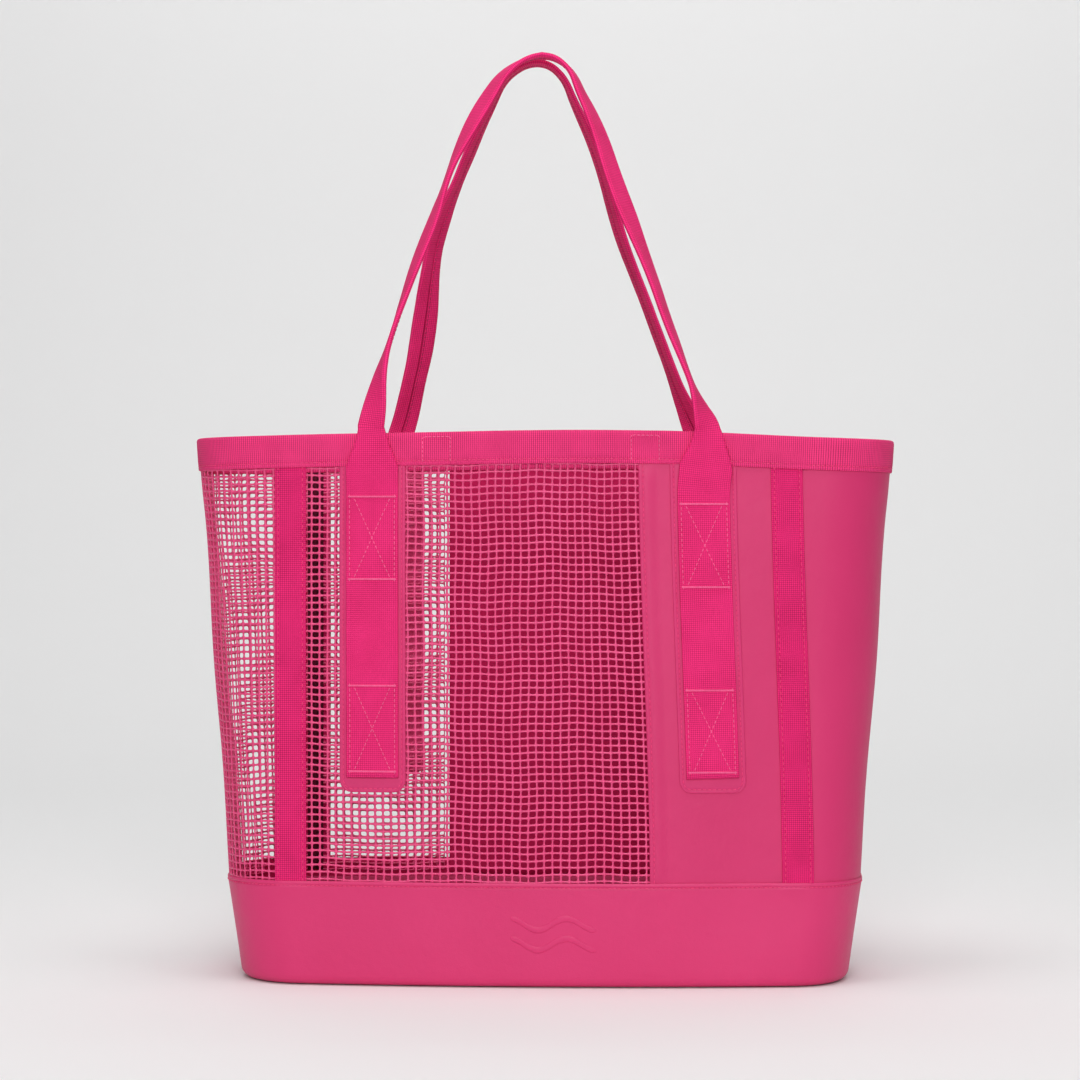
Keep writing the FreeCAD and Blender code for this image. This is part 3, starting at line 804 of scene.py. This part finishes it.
def plate(name, out, low, high, material):
    share = np.arange(180) / 180
    rings = []
    for z, scales in ((low, (0.4, 0.75, 0.97, 0.998)), (high, (0.998, 0.97, 0.75, 0.4))):
        edge = ring_point(share, z, out)
        for scale in scales:
            rings.append(edge * [scale, scale, 1])
    count = len(share)
    points = np.concatenate([*rings, [[0, 0, low]], [[0, 0, high]]])
    faces = []
    for n in range(len(rings) - 1):
        for j in range(count):
            k = (j + 1) % count
            faces.append([n * count + j, n * count + k, (n + 1) * count + k, (n + 1) * count + j])
    top, bottom = len(points) - 1, len(points) - 2
    for j in range(count):
        k = (j + 1) % count
        faces.append([bottom, j, k])
        faces.append([top, (len(rings) - 1) * count + j, (len(rings) - 1) * count + k])
    uv = [points[corner][:2] for face in faces for corner in face]
    return finish_mesh(name, points, faces, uv, material)


bottom = plate("base_bottom", out=-0.0052, low=0.0002, high=0.001, material=coated_base)
sew(bottom, "bag", "coated_fabric", "bottom_panel")

tub = [(0.0036, -0.055), (0.0034, -0.012), (0.0040, -0.0045), (0.0056, -0.0018), (0.0072, -0.0004)]
tub += [(z, 0.0008) for z in (0.012, 0.025, 0.040, 0.055, 0.0612)]
tub_share = np.arange(240) / 240
tub_z, tub_out = as_columns(tub)
tub_out = np.maximum(tub_out, -0.045)
outer = ring_point(tub_share[None, :], tub_z, tub_out)
raised, moved_in = 0.0006 * (tub_z < 0.01), 0.0008 * (tub_z > 0.0035)
inner = ring_point(tub_share[None, :], tub_z + raised, tub_out - moved_in)
lining = ring_sheet("base_lining_walls", outer, inner, tub, tub_share, lining_cloth)
sew(lining, "bag", "lining", "base_lining")
floor = plate("base_lining_floor", out=-0.0440, low=0.0035, high=0.0043, material=lining_cloth)
sew(floor, "bag", "lining")

# %% [markdown]
# ## Rim binding
#
# The webbing of the rim is folded over the panels' top edge, like a letter U upside down, and one row
# of stitches near its lower edge goes through everything. It is the same loft as the band, with
# a profile that goes up outside, over the top and down inside.

# %% Binding
climb = [(0, -0.0006), (0.0003, -0.0001), (0.0009, 0.0001), (0.0024, 0.0001), (0.0029, -0.0001)]
climb += [(0.0033, -0.0003), (0.0037, -0.0001), (0.0042, 0.0001), (0.007, 0.0002), (0.012, 0.0002)]
climb += [(0.018, 0.0002), (0.0215, 0.0001), (0.0229, -0.0003), (0.0236, -0.0010), (0.0239, -0.0019)]
outside = [(RIM_LOW + z, 0.0024 + rise) for z, rise in climb]
inside = [(RIM_LOW + z, -0.0014 - rise) for z, rise in reversed(climb)]
rim_inner = [(min(z, 0.3990), 0.00115) for z, _ in outside] + [(min(z, 0.3990), -0.00015) for z, _ in inside]
rim_outer = outside + inside
rim_share = np.arange(420) / 420


def rim_grid(profile):
    z, out = as_columns(profile)
    near_strip = over_strip(ring_point(rim_share[None, :], z, out))
    bulge = 0.0006 * near_strip * (1 - smooth(z, 0.380, 0.386)) * (out > 0.001)
    return ring_point(rim_share[None, :], z, out + bulge)


binding = ring_sheet(
    "rim_binding_webbing", rim_grid(rim_outer), rim_grid(rim_inner), rim_outer, rim_share, rim_webbing
)
sew(binding, "bag", "webbing", "rim_binding")

# %% [markdown]
# ## Tabs inside the rim
#
# Two short pieces of webbing are sewn inside the front rim, and their square rows of stitches show
# outside. They are the same sewn sheet as the strips.

# %% Tabs
TAB_WIDTH, TAB_LOW, TAB_HIGH, TAB_THICK = 0.023, 0.3777, 0.3967, 0.0012
TAB_PLACES = {"left": -0.075, "right": 0.080}  # the right-hand front leans 5 mm, and the tab doesn't
tab_across, tab_lift = sewn_profile(TAB_WIDTH)
tab_up = [TAB_LOW, TAB_LOW + 0.0004, TAB_LOW + 0.001, 0.383, 0.388, 0.392]
tab_up = np.array(tab_up + [TAB_HIGH - 0.001, TAB_HIGH - 0.0004, TAB_HIGH])
tab_height = TAB_THICK * tab_lift[:, None] * ease_edge(tab_up, 0.001)[None, :]
for side, middle in TAB_PLACES.items():
    x = middle + tab_across[:, None]
    tab = wall_sheet(
        f"{side}_tab", x, tab_up[None, :], -0.0016 - tab_height, -0.0015, -1, tab_across, tab_up, rim_webbing
    )
    sew(tab, "bag", "webbing", f"{side}_rim_tab")

# %% [markdown]
# ## Patches under the handles
#
# A coated patch spreads the pull of each handle. Its lower corners are round, and a row of stitches
# goes all round it. The grid's lower rows are narrower, which makes the round corners.

# %% Patches
HANDLE_X, PATCH_WIDTH, PATCH_LOW, PATCH_HIGH, PATCH_CORNER = 0.1215, 0.048, 0.140, 0.381, 0.009
PATCH_INSET, PATCH_THICK = 0.0027, 0.0009
patch_across, patch_lift = sewn_profile(PATCH_WIDTH, PATCH_INSET, groove=0.4)
drops = [0, 0.0003, 0.0008, 0.0015, 0.0022, PATCH_INSET, 0.0032, 0.0042, 0.0056, 0.0072, PATCH_CORNER]
patch_up = np.concatenate([PATCH_LOW + np.array(drops), np.linspace(0.152, PATCH_HIGH, 60)])
below = np.clip(PATCH_CORNER - (patch_up - PATCH_LOW), 0, PATCH_CORNER)
narrow = PATCH_CORNER - np.sqrt(PATCH_CORNER**2 - below**2)
patch_foot = np.interp(patch_up - PATCH_LOW, drops[:8], [0.35, 0.75, 1, 1, 0.75, 0.6, 0.75, 1])
patch_foot = patch_foot * (1 - 0.4 * smooth(patch_up, 0.373, 0.376))
squeeze = (PATCH_WIDTH / 2 - narrow) / (PATCH_WIDTH / 2)
for facing, wall in ((-1, "front"), (1, "back")):
    for hand, side in ((-1, "left"), (1, "right")):
        x = hand * HANDLE_X + patch_across[:, None] * squeeze[None, :]
        height = np.broadcast_to(patch_up[None, :], x.shape)
        from_row = PATCH_WIDTH / 2 - np.abs(x - hand * HANDLE_X) - PATCH_INSET
        pucker = 0.00012 * np.sin(height * 1700 + x * 300) * np.exp(-((from_row / 0.0025) ** 2))
        out = 0.0011 + PATCH_THICK * patch_lift[:, None] * patch_foot[None, :] + pucker
        patch = wall_sheet(
            f"{wall}_{side}_patch", x, height, out, 0.00108, facing, patch_across, patch_up, coated_patch
        )
        sew(patch, "bag", "coated_fabric", f"{wall}_{side}_handle_patch")

# %% [markdown]
# ## Handles
#
# Each handle is one strap. It is sewn flat up the wall, then its edges fold inwards until they meet,
# so the loop is a soft round-edged band with a seam inside. To make it, a line follows the strap's
# middle, and at each step a cross-section is set across it: flat at first, then folded, turning edge-on
# as the strap leans in. A curve with a bevel can't fold its section along the way, so this is mesh code.

# %% The strap's cross-section
STRAP_WIDTH, STRAP_THICK, FOLDED_THICK = 0.038, 0.0018, 0.0016


def strap_section(folded, thickness):
    """The closed outline of the webbing, from flat (0) to folded in two (1), as (across, inwards).

    The fold starts at the edges and moves in, as when the sides of a strip are turned over slantwise.
    """
    fine = np.linspace(0, STRAP_WIDTH / 2, 381)
    start = 0.0081 * folded + 0.0197 * (1 - folded)
    turned = math.pi * smooth(fine, start - 0.0006, start + 0.0038)
    step = fine[1] - fine[0]
    across = np.concatenate([[0], np.cumsum(np.cos((turned[1:] + turned[:-1]) / 2)) * step])
    inwards = np.concatenate([[0], np.cumsum(np.sin((turned[1:] + turned[:-1]) / 2)) * step])
    spots = [0, 3, 5.5, 7.2, 8.1, 8.9, 9.5, 10.1, 10.9, 12.2, 14.2, 15.8, 16.3, 16.8, 17.8, 18.5, 19.0]
    spots = np.array(spots) * 1e-3
    groove = np.array([0] * 11 + [0.1, 0.25, 0.1, 0, 0.1, 0.5])
    p, q = np.interp(spots, fine, across), np.interp(spots, fine, inwards)
    angle = np.interp(spots, fine, turned)
    half = thickness / 2 * (1 - groove * np.where(spots > 0.0178, 1, 1 - 0.5 * folded))
    sheet = []
    for side in (-1, 1):
        a = p - side * half * np.sin(angle)
        n = q + side * half * np.cos(angle)
        sheet.append((np.concatenate([-a[:0:-1], a]), np.concatenate([n[:0:-1], n])))
    middle = (sheet[0][1].min() + max(sheet[0][1].max(), sheet[1][1].max())) / 2
    s = np.concatenate([-spots[:0:-1], spots])
    return [(a, n - middle) for a, n in sheet], s


section, _ = strap_section(1.0, FOLDED_THICK)
print("folded strap:", round(float(np.ptp(section[0][0])) * 1000, 1), "mm wide")

# %% [markdown]
# The loop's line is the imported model's own: an arc of 1.56 m down each leg, a small arc over the top,
# and a lean towards the middle until the two handles almost touch. The legs don't twist alike, so
# each has its own few heights and angles for the turn of its strap.

# %% The strap's line
LOOP_TOP, FREE_RISE, TOP_ARC, LEG_ARC, SWAY = 0.6822, 0.004, 0.036, 1.56, 0.009
FOLDED_WIDTH, LEG_LOW = 0.019, 0.1507
BEND_LOW, BEND_HIGH, BEND_DEPTH = 0.3555, 0.3665, 0.0915


def plain_depth(x, z, out):
    return float(half_sizes(z)[1] - WALL_BOW + math.sqrt((WALL_BOW + out) ** 2 - x**2))


def half_strap():
    """Points from the top of the loop down to the sewn end, each as (across, sway, depth, height)."""
    foot_depth = plain_depth(HANDLE_X, RIM, 0.0046)
    lean = foot_depth - (FOLDED_WIDTH + 0.001) / 2
    slope = math.hypot(LOOP_TOP - RIM - FREE_RISE, lean)
    top_centre = Vector((0, slope - TOP_ARC))
    span = top_centre - Vector((HANDLE_X, 0))
    reach = LEG_ARC - TOP_ARC
    along = (LEG_ARC**2 - reach**2 + span.length**2) / (2 * span.length)
    across = math.sqrt(LEG_ARC**2 - along**2)
    direction = span.normalized()
    centre = Vector((HANDLE_X, 0)) + direction * along + Vector((-direction.y, direction.x)) * across
    join = math.atan2(top_centre.y - centre.y, top_centre.x - centre.x)
    foot = math.atan2(-centre.y, HANDLE_X - centre.x)
    soft = 0.015
    full = math.hypot(slope, soft) - soft
    points = []
    for angle in np.linspace(math.pi / 2, join, 14)[:-1]:
        points.append((top_centre.x + TOP_ARC * math.cos(angle), top_centre.y + TOP_ARC * math.sin(angle)))
    for angle in np.linspace(join, foot, 74):
        points.append((centre.x + LEG_ARC * math.cos(angle), centre.y + LEG_ARC * math.sin(angle)))
    half = []
    for x, v in points:
        inwards = (math.hypot(v, soft) - soft) / full * lean
        z = RIM + FREE_RISE + (LOOP_TOP - RIM - FREE_RISE) * v / slope
        sway = SWAY * float(smooth(v, 0, slope / 3))
        half.append((x, sway, foot_depth - inwards, z))
    bend = np.linspace(BEND_HIGH + 0.0014, BEND_LOW - 0.0014, 28)
    below_bend = [np.linspace(0.3520, 0.345, 3), np.linspace(0.341, LEG_LOW, 60)]
    for z in np.concatenate([np.linspace(0.4020, 0.3695, 14), bend, *below_bend]):
        off = 0.00295 + 0.0013 * float(smooth(z, 0.356, 0.374)) + 0.0004 * float(smooth(z, 0.376, 0.402))
        half.append((HANDLE_X, 0.0, plain_depth(HANDLE_X, min(z, RIM), off), z))
    return half


def strap(name, facing, left_twist, right_twist, left_shift, right_shift, sag=0):
    """The twists are (heights, degrees) and the shifts are (heights, metres), one of each for each leg."""
    half = half_strap()
    left = [(-x - sway, y, z, -1) for x, sway, y, z in reversed(half)]
    right = [(x - sway, y, z, 1) for x, sway, y, z in half[1:]]
    stations = left + right
    middle = np.array([(x, facing * y, z) for x, y, z, _ in stations])
    leg = np.array([hand for *_, hand in stations])
    shift = np.where(leg < 0, np.interp(middle[:, 2], *left_shift), np.interp(middle[:, 2], *right_shift))
    middle[:, 0] += np.convolve(np.pad(shift, 6, mode="edge"), np.ones(13) / 13, "valid")
    z = middle[:, 2].copy()
    on_wall = 1 - smooth(z, 0.352, 0.400)
    middle = middle + (settled(middle) - middle) * on_wall[:, None]
    along = np.gradient(middle, axis=0)
    along /= np.linalg.norm(along, axis=1)[:, None]
    twist = np.radians(np.where(leg < 0, np.interp(z, *left_twist), np.interp(z, *right_twist)))
    soft = np.ones(9) / 9
    twist = np.convolve(np.pad(twist, 4, mode="edge"), soft, "valid")
    folded = 0.6 * np.clip((z - 0.367) / 0.035, 0, 1) + 0.4 * smooth(z, 0.367, 0.402)
    middle[:, 2] -= sag * smooth(z, 0.60, 0.68)
    outer, inner, length, seam = [], [], [0], []
    for n in range(len(middle)):
        if n:
            length.append(length[-1] + float(np.linalg.norm(middle[n] - middle[n - 1])))
        depthwise = np.array([0, facing, 0.0])
        depthwise -= along[n] * along[n].dot(depthwise)
        depthwise /= np.linalg.norm(depthwise)
        flat = np.array([1, -facing * leg[n] * abs(middle[n][0]) / WALL_BOW * (1 - folded[n]), 0.0])
        flat -= along[n] * along[n].dot(flat)
        size = np.linalg.norm(flat)
        flat = flat / size if size > 1e-6 else flat
        t = twist[n]
        across = flat * math.cos(t) * -leg[n] + depthwise * math.sin(t)
        across /= np.linalg.norm(across)
        inwards = np.cross(along[n], across) * -facing
        thickness = STRAP_THICK * (1 - folded[n]) + FOLDED_THICK * folded[n]
        (a_low, n_low), (a_high, n_high) = strap_section(float(folded[n]), thickness)[0]
        outer.append(middle[n] + a_low[:, None] * across + n_low[:, None] * inwards)
        inner.append(middle[n] + a_high[:, None] * across + n_high[:, None] * inwards)
        if folded[n] > 0.97:
            seam.append(middle[n] + inwards * 0.0018 + across * 0.0016)
    spots = strap_section(0, STRAP_THICK)[1]
    piece = shell(name, np.stack(outer, 1), np.stack(inner, 1), spots, np.array(length), strap_webbing)
    return piece, seam


front_strap, front_seam = strap(
    "front_handle_strap", -1,
    left_twist=(
        [0.385, 0.404, 0.42, 0.447, 0.468, 0.50, 0.53, 0.555, 0.588, 0.60, 0.62, 0.635, 0.66, 0.684],
        [0, 6, 32, 72, 88, 76, 66, 64, 84, 76, 60, 50, 56, 90],
    ),
    right_twist=(
        [0.385, 0.400, 0.423, 0.442, 0.455, 0.475, 0.506, 0.533, 0.56, 0.587, 0.615, 0.635, 0.655, 0.684],
        [0, 10, 82, 90, 80, 76, 74, 68, 52, 54, 58, 66, 76, 90],
    ),
    left_shift=(
        [0.38, 0.404, 0.425, 0.452, 0.479, 0.506, 0.53, 0.56, 0.588, 0.614, 0.641, 0.66, 0.676, 0.6822],
        [0, 0, -0.0025, -0.001, 0.0045, 0.004, 0.0035, 0.005, 0.0015, 0.0015, 0.003, 0.006, 0.010, 0.008],
    ),
    right_shift=(
        [0.38, 0.425, 0.45, 0.48, 0.506, 0.533, 0.587, 0.61, 0.628, 0.65, 0.668, 0.6822],
        [0, -0.004, -0.0028, -0.0012, -0.001, -0.0025, -0.0035, -0.001, 0.001, 0, -0.0015, 0.0065],
    ),
)
back_strap, back_seam = strap(
    "back_handle_strap", 1,
    left_twist=(
        [0.385, 0.404, 0.425, 0.452, 0.479, 0.506, 0.533, 0.56, 0.575, 0.588, 0.61, 0.64, 0.684],
        [0, 10, 20, 33, 8, 33, 57, 56, 60, 84, 72, 84, 90],
    ),
    right_twist=(
        [0.385, 0.404, 0.43, 0.447, 0.47, 0.506, 0.533, 0.56, 0.60, 0.64, 0.684],
        [0, 15, 56, 70, 70, 72, 72, 68, 72, 76, 90],
    ),
    left_shift=(
        [0.38, 0.404, 0.425, 0.452, 0.479, 0.503, 0.53, 0.56, 0.575, 0.61, 0.64, 0.666, 0.6822],
        [0, 0.006, 0.007, 0.0105, 0.0135, 0.009, 0.0035, -0.001, 0.001, 0.003, 0.004, 0.007, 0.004],
    ),
    right_shift=(
        [0.376, 0.42, 0.45, 0.48, 0.506, 0.533, 0.56, 0.587, 0.614, 0.641, 0.66, 0.672, 0.6822],
        [0, -0.011, -0.010, -0.008, -0.0095, -0.012, -0.0125, -0.009, -0.0065, -0.006, -0.0075, -0.006,
         0.001],
    ),
    sag=0.002,
)

# %% [markdown]
# The strap crosses the hinge line of its handle, so it isn't fixed to one body. Here its place is baked
# into its points, and the imported loop and legs are hidden.

# %% Bake the straps in place
for piece, facing, wall in ((front_strap, -1, "front"), (back_strap, 1, "back")):
    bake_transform(piece)
    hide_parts(f"{wall}_handle_loop", f"{wall}_left_handle_leg", f"{wall}_right_handle_leg")
    print(f"{piece.name}: {len(piece.data.polygons)} faces")

# %% [markdown]
# ## Stitches
#
# Every row of sewing is the same short stitch set along a line, so Geometry Nodes do it: the line is cut
# into equal steps, and a stitch is set on each, turned along the line. The lines are made here from
# the places of the seams, and the tree does the rest.

# %% One stitch and its tree
STITCH_LENGTH, STITCH_WIDTH, STITCH_HEIGHT = 0.0025, 0.00088, 0.00072


def one_stitch():
    """A fat thread between two holes: thickest in its middle, with thin ends."""
    rings = [(-0.5, 0.25), (-0.38, 0.85), (0, 1.0), (0.38, 0.85), (0.5, 0.25)]
    points, faces = [], []
    for along, wide in rings:
        for n in range(6):
            turn = math.tau * n / 6
            y, z = STITCH_WIDTH / 2 * wide * math.cos(turn), STITCH_HEIGHT / 2 * wide * math.sin(turn)
            points.append((along * STITCH_LENGTH, y, z))
    for r in range(4):
        for n in range(6):
            m = (n + 1) % 6
            faces.append((r * 6 + n, r * 6 + m, r * 6 + 6 + m, r * 6 + 6 + n))
    faces.append(tuple(range(5, -1, -1)))
    faces.append(tuple(range(24, 30)))
    mesh = bpy.data.meshes.new("stitch")
    mesh.from_pydata(points, [], faces)
    mesh.shade_smooth()
    return add_object("stitch", mesh)


stitch = one_stitch()
row_tree = Tree("row of stitches", Pitch="Float", Stitch="Object", Finish="Material")
line = row_tree.add("GeometryNodeMeshToCurve", (0, row_tree.given["Geometry"]))
steps = row_tree.add(
    "GeometryNodeResampleCurve", ("Curve", line[0]), ("Length", row_tree.given["Pitch"]), mode="LENGTH"
)
heading = row_tree.add("GeometryNodeInputTangent")
turned = row_tree.add("FunctionNodeAlignRotationToVector", ("Vector", heading[0]), axis="X")
shape = row_tree.add("GeometryNodeObjectInfo", ("Object", row_tree.given["Stitch"]))
sewn = row_tree.add(
    "GeometryNodeInstanceOnPoints",
    ("Points", steps[0]), ("Instance", shape["Geometry"]), ("Rotation", turned[0]),
)
row_tree.finish(sewn[0], row_tree.given["Finish"])


def stitch_rows(name, lines, pitch, body="bag", slot="webbing", finish=thread):
    """Rows of stitches along lines. Each line is an array of points, and is not closed."""
    points, edges = [], []
    for row in lines:
        row = np.asarray(row)
        first = len(points)
        points += row.tolist()
        edges += [(first + n, first + n + 1) for n in range(len(row) - 1)]
    mesh = bpy.data.meshes.new(name)
    mesh.from_pydata(points, edges, [])
    piece = add_object(name, mesh)
    grow(piece, row_tree, Pitch=pitch, Stitch=stitch, Finish=finish)
    return sew(piece, body, slot)


# %% [markdown]
# The rows follow what was sewn: both edges of each strip, round each patch, along the binding, along
# the band's hem, beside each seam of net and coated fabric, and a crossed box at each end of the
# sewn webbing.

# %% Rows on the walls


def path(corners, step=0.003):
    """Points along straight runs between corners, as (x, z)."""
    spots = []
    for (x0, z0), (x1, z1) in zip(corners, corners[1:]):
        count = max(int(math.hypot(x1 - x0, z1 - z0) / step), 1)
        spots += [(x0 + (x1 - x0) * n / count, z0 + (z1 - z0) * n / count) for n in range(count)]
    return np.array(spots + [corners[-1]])


strip_z = np.linspace(0.0765, 0.3755, 100)
row_out, row_corner = PATCH_WIDTH / 2 - PATCH_INSET, PATCH_CORNER - PATCH_INSET
patch_edge = [(0, 0.3755), (0, 0.1494)]
for t in np.radians([20, 40, 60, 80]):
    patch_edge.append((row_corner * (1 - math.cos(t)), PATCH_LOW + PATCH_CORNER - row_corner * math.sin(t)))
patch_left = [(HANDLE_X - row_out + inwards, z) for inwards, z in patch_edge]
patch_right = [(HANDLE_X + row_out - inwards, z) for inwards, z in reversed(patch_edge)]
patch_round = path(patch_left + patch_right)
for facing, wall in ((-1, "front"), (1, "back")):
    rows = [
        wall_point(hand * SEAM_X + edge * (STRIP_WIDTH / 2 - STITCH_INSET), strip_z, 0.0022, facing)
        for hand in (-1, 1) for edge in (-1, 1)
    ]
    stitch_rows(f"{wall}_strip_stitches", rows, 0.0042)
    rows = [wall_point(hand * patch_round[:, 0], patch_round[:, 1], 0.00175, facing) for hand in (-1, 1)]
    stitch_rows(f"{wall}_patch_stitches", rows, 0.0036, slot="coated_fabric")
    seam = wall_point(0.0782 if facing < 0 else -0.0748, strip_z, 0.0020, facing)
    stitch_rows(f"{wall}_panel_seam_stitches", [seam], 0.0040, slot="coated_fabric")

# %% Rows round the bag
round_share = np.arange(0, 601) / 600
tab_rows = []
for middle in TAB_PLACES.values():
    left, right, low, high = middle - 0.0100, middle + 0.0100, TAB_LOW + 0.002, TAB_HIGH - 0.0004
    box = path([(left, low), (left, high), (right, high), (right, low)])
    tab_rows.append(wall_point(box[:, 0], box[:, 1], 0.0028, -1))
stitch_rows("tab_stitches", tab_rows, 0.0030, finish=pale_thread)
EDGE_TO_ROW, ROUND_PITCH = 0.0033, 0.0033
rim_row = ring_point(round_share, RIM_LOW + EDGE_TO_ROW, 0.00235)
stitch_rows("rim_stitches", [rim_row], ROUND_PITCH)
band_row = ring_point(round_share, BAND_TOP - EDGE_TO_ROW, 0.0023)
stitch_rows("band_stitches", [band_row], ROUND_PITCH, slot="coated_fabric")

# %% Crossed boxes on the sewn webbing


def on_leg(hand, across, z, out, facing):
    """On the flat face of a sewn leg, across metres from its middle."""
    place = wall_point(np.full_like(z, hand * HANDLE_X), z, out, facing)
    place[..., 0] += across
    place[..., 1] -= facing * hand * HANDLE_X / WALL_BOW * across
    return place


def crossed_box(low, high, half=0.0163):
    sides = [path([(x, low), (x, high)]) for x in (-half, half)]
    near, far, foot, head = 0.004 - half, half - 0.004, low + 0.003, high - 0.003
    cross = [path([(near, foot), (far, head)]), path([(near, head), (far, foot)])]
    bars = [path([(-half, level), (half, level)]) for level in (low, low + 0.0006, high - 0.0006, high)]
    return sides + cross, bars


for facing, wall in ((-1, "front"), (1, "back")):
    rows, bars = [], []
    for hand in (-1, 1):
        lower = 0.006 * (hand > 0)
        for low, high in ((0.155, 0.2175 - lower / 2), (0.294 - lower, 0.3543 - lower)):
            box, bar = crossed_box(low, high)
            rows += [on_leg(hand, row[:, 0], row[:, 1], 0.0040, facing) for row in box]
            bars += [on_leg(hand, row[:, 0], row[:, 1], 0.0041, facing) for row in bar]
    stitch_rows(f"{wall}_webbing_stitches", rows, 0.0036, finish=pale_thread)
    stitch_rows(f"{wall}_webbing_bars", bars, 0.0016, finish=pale_thread)

# %% Seams along the folded loops
for seam, wall in ((front_seam, "front"), (back_seam, "back")):
    stitch_rows(f"{wall}_loop_stitches", [seam], 0.0034, body=f"{wall}_handle", finish=seam_shade_thread)
bpy.data.objects.remove(stitch)

# %% [markdown]
# ## Floor and light
#
# The bag stands on a pale sweep: a floor that curves up into a wall, so there is no corner line. Three
# broad soft lights do the work: one well in front and high up, one above the bag and one on the wall
# behind it. None is at a side, so the rounded sides of the bag stay darker than its front.

# %% Sweep
FLOOR_BACK, WALL_CURVE, WALL_TOP, SWEEP_HALF, UNDER_BAG = 1.6, 1.0, 4.0, 4.5, 0.0006
sweep_points, sweep_faces = [], []
profile = [(-4.0, 0.0), (FLOOR_BACK, 0.0)]
for t in np.radians(range(10, 91, 10)):
    profile.append((FLOOR_BACK + WALL_CURVE * math.sin(t), WALL_CURVE - WALL_CURVE * math.cos(t)))
profile.append((FLOOR_BACK + WALL_CURVE, WALL_TOP))
for y, z in profile:
    sweep_points += [(-SWEEP_HALF, y, z - UNDER_BAG), (SWEEP_HALF, y, z - UNDER_BAG)]
for n in range(len(profile) - 1):
    sweep_faces.append((2 * n, 2 * n + 1, 2 * n + 3, 2 * n + 2))
sweep_mesh = bpy.data.meshes.new("sweep")
sweep_mesh.from_pydata(sweep_points, [], sweep_faces)
sweep_mesh.shade_smooth()
sweep = add_object("sweep", sweep_mesh)
paper = Finish("paper sweep", 0.9)
paper.shader.inputs["Base Color"].default_value = tone(242, 242, 242)
sweep_mesh.materials.append(paper.material)

# %% Lights


def soft_light(name, place, towards, size, power):
    data = bpy.data.lights.new(name, "AREA")
    data.shape = "RECTANGLE"
    data.size, data.size_y = size
    data.energy = power
    lamp = add_object(name, data)
    lamp.location = place
    lamp.rotation_euler = (Vector(towards) - Vector(place)).to_track_quat("-Z", "Y").to_euler()


soft_light("front_light", (0.2, -3.6, 1.6), (0, 0, 0.25), (1.7, 1.3), 64)
soft_light("top_light", (0.0, -0.5, 2.4), (0, -0.3, 0.1), (1.6, 1.2), 25)
soft_light("sweep_light", (0.0, 1.3, 2.7), (0, 2.6, 1.5), (3.0, 0.8), 21)

# %% [markdown]
# The room's own white light fills the shade. It is strongest from the front and the back and a little
# weaker from the sides, which helps the rounded sides of the bag to fall off into shade.

# %% Room
ROOM_LIGHT, SIDE_LOSS = 0.33, 0.13
world = bpy.data.worlds.new("room")
world.use_nodes = True
sky = world.node_tree
parts = sky.nodes.new("ShaderNodeSeparateXYZ")
sky.links.new(sky.nodes.new("ShaderNodeTexCoord").outputs["Generated"], parts.inputs[0])
sideways = sky.nodes.new("ShaderNodeMath")
sideways.operation = "ABSOLUTE"
sky.links.new(parts.outputs["X"], sideways.inputs[0])
strength = sky.nodes.new("ShaderNodeMath")
strength.operation = "MULTIPLY_ADD"
sky.links.new(sideways.outputs[0], strength.inputs[0])
strength.inputs[1].default_value = -SIDE_LOSS
strength.inputs[2].default_value = ROOM_LIGHT
sky.links.new(strength.outputs[0], sky.nodes["Background"].inputs["Strength"])
sky.nodes["Background"].inputs["Color"].default_value = (1, 1, 1, 1)
bpy.context.scene.world = world
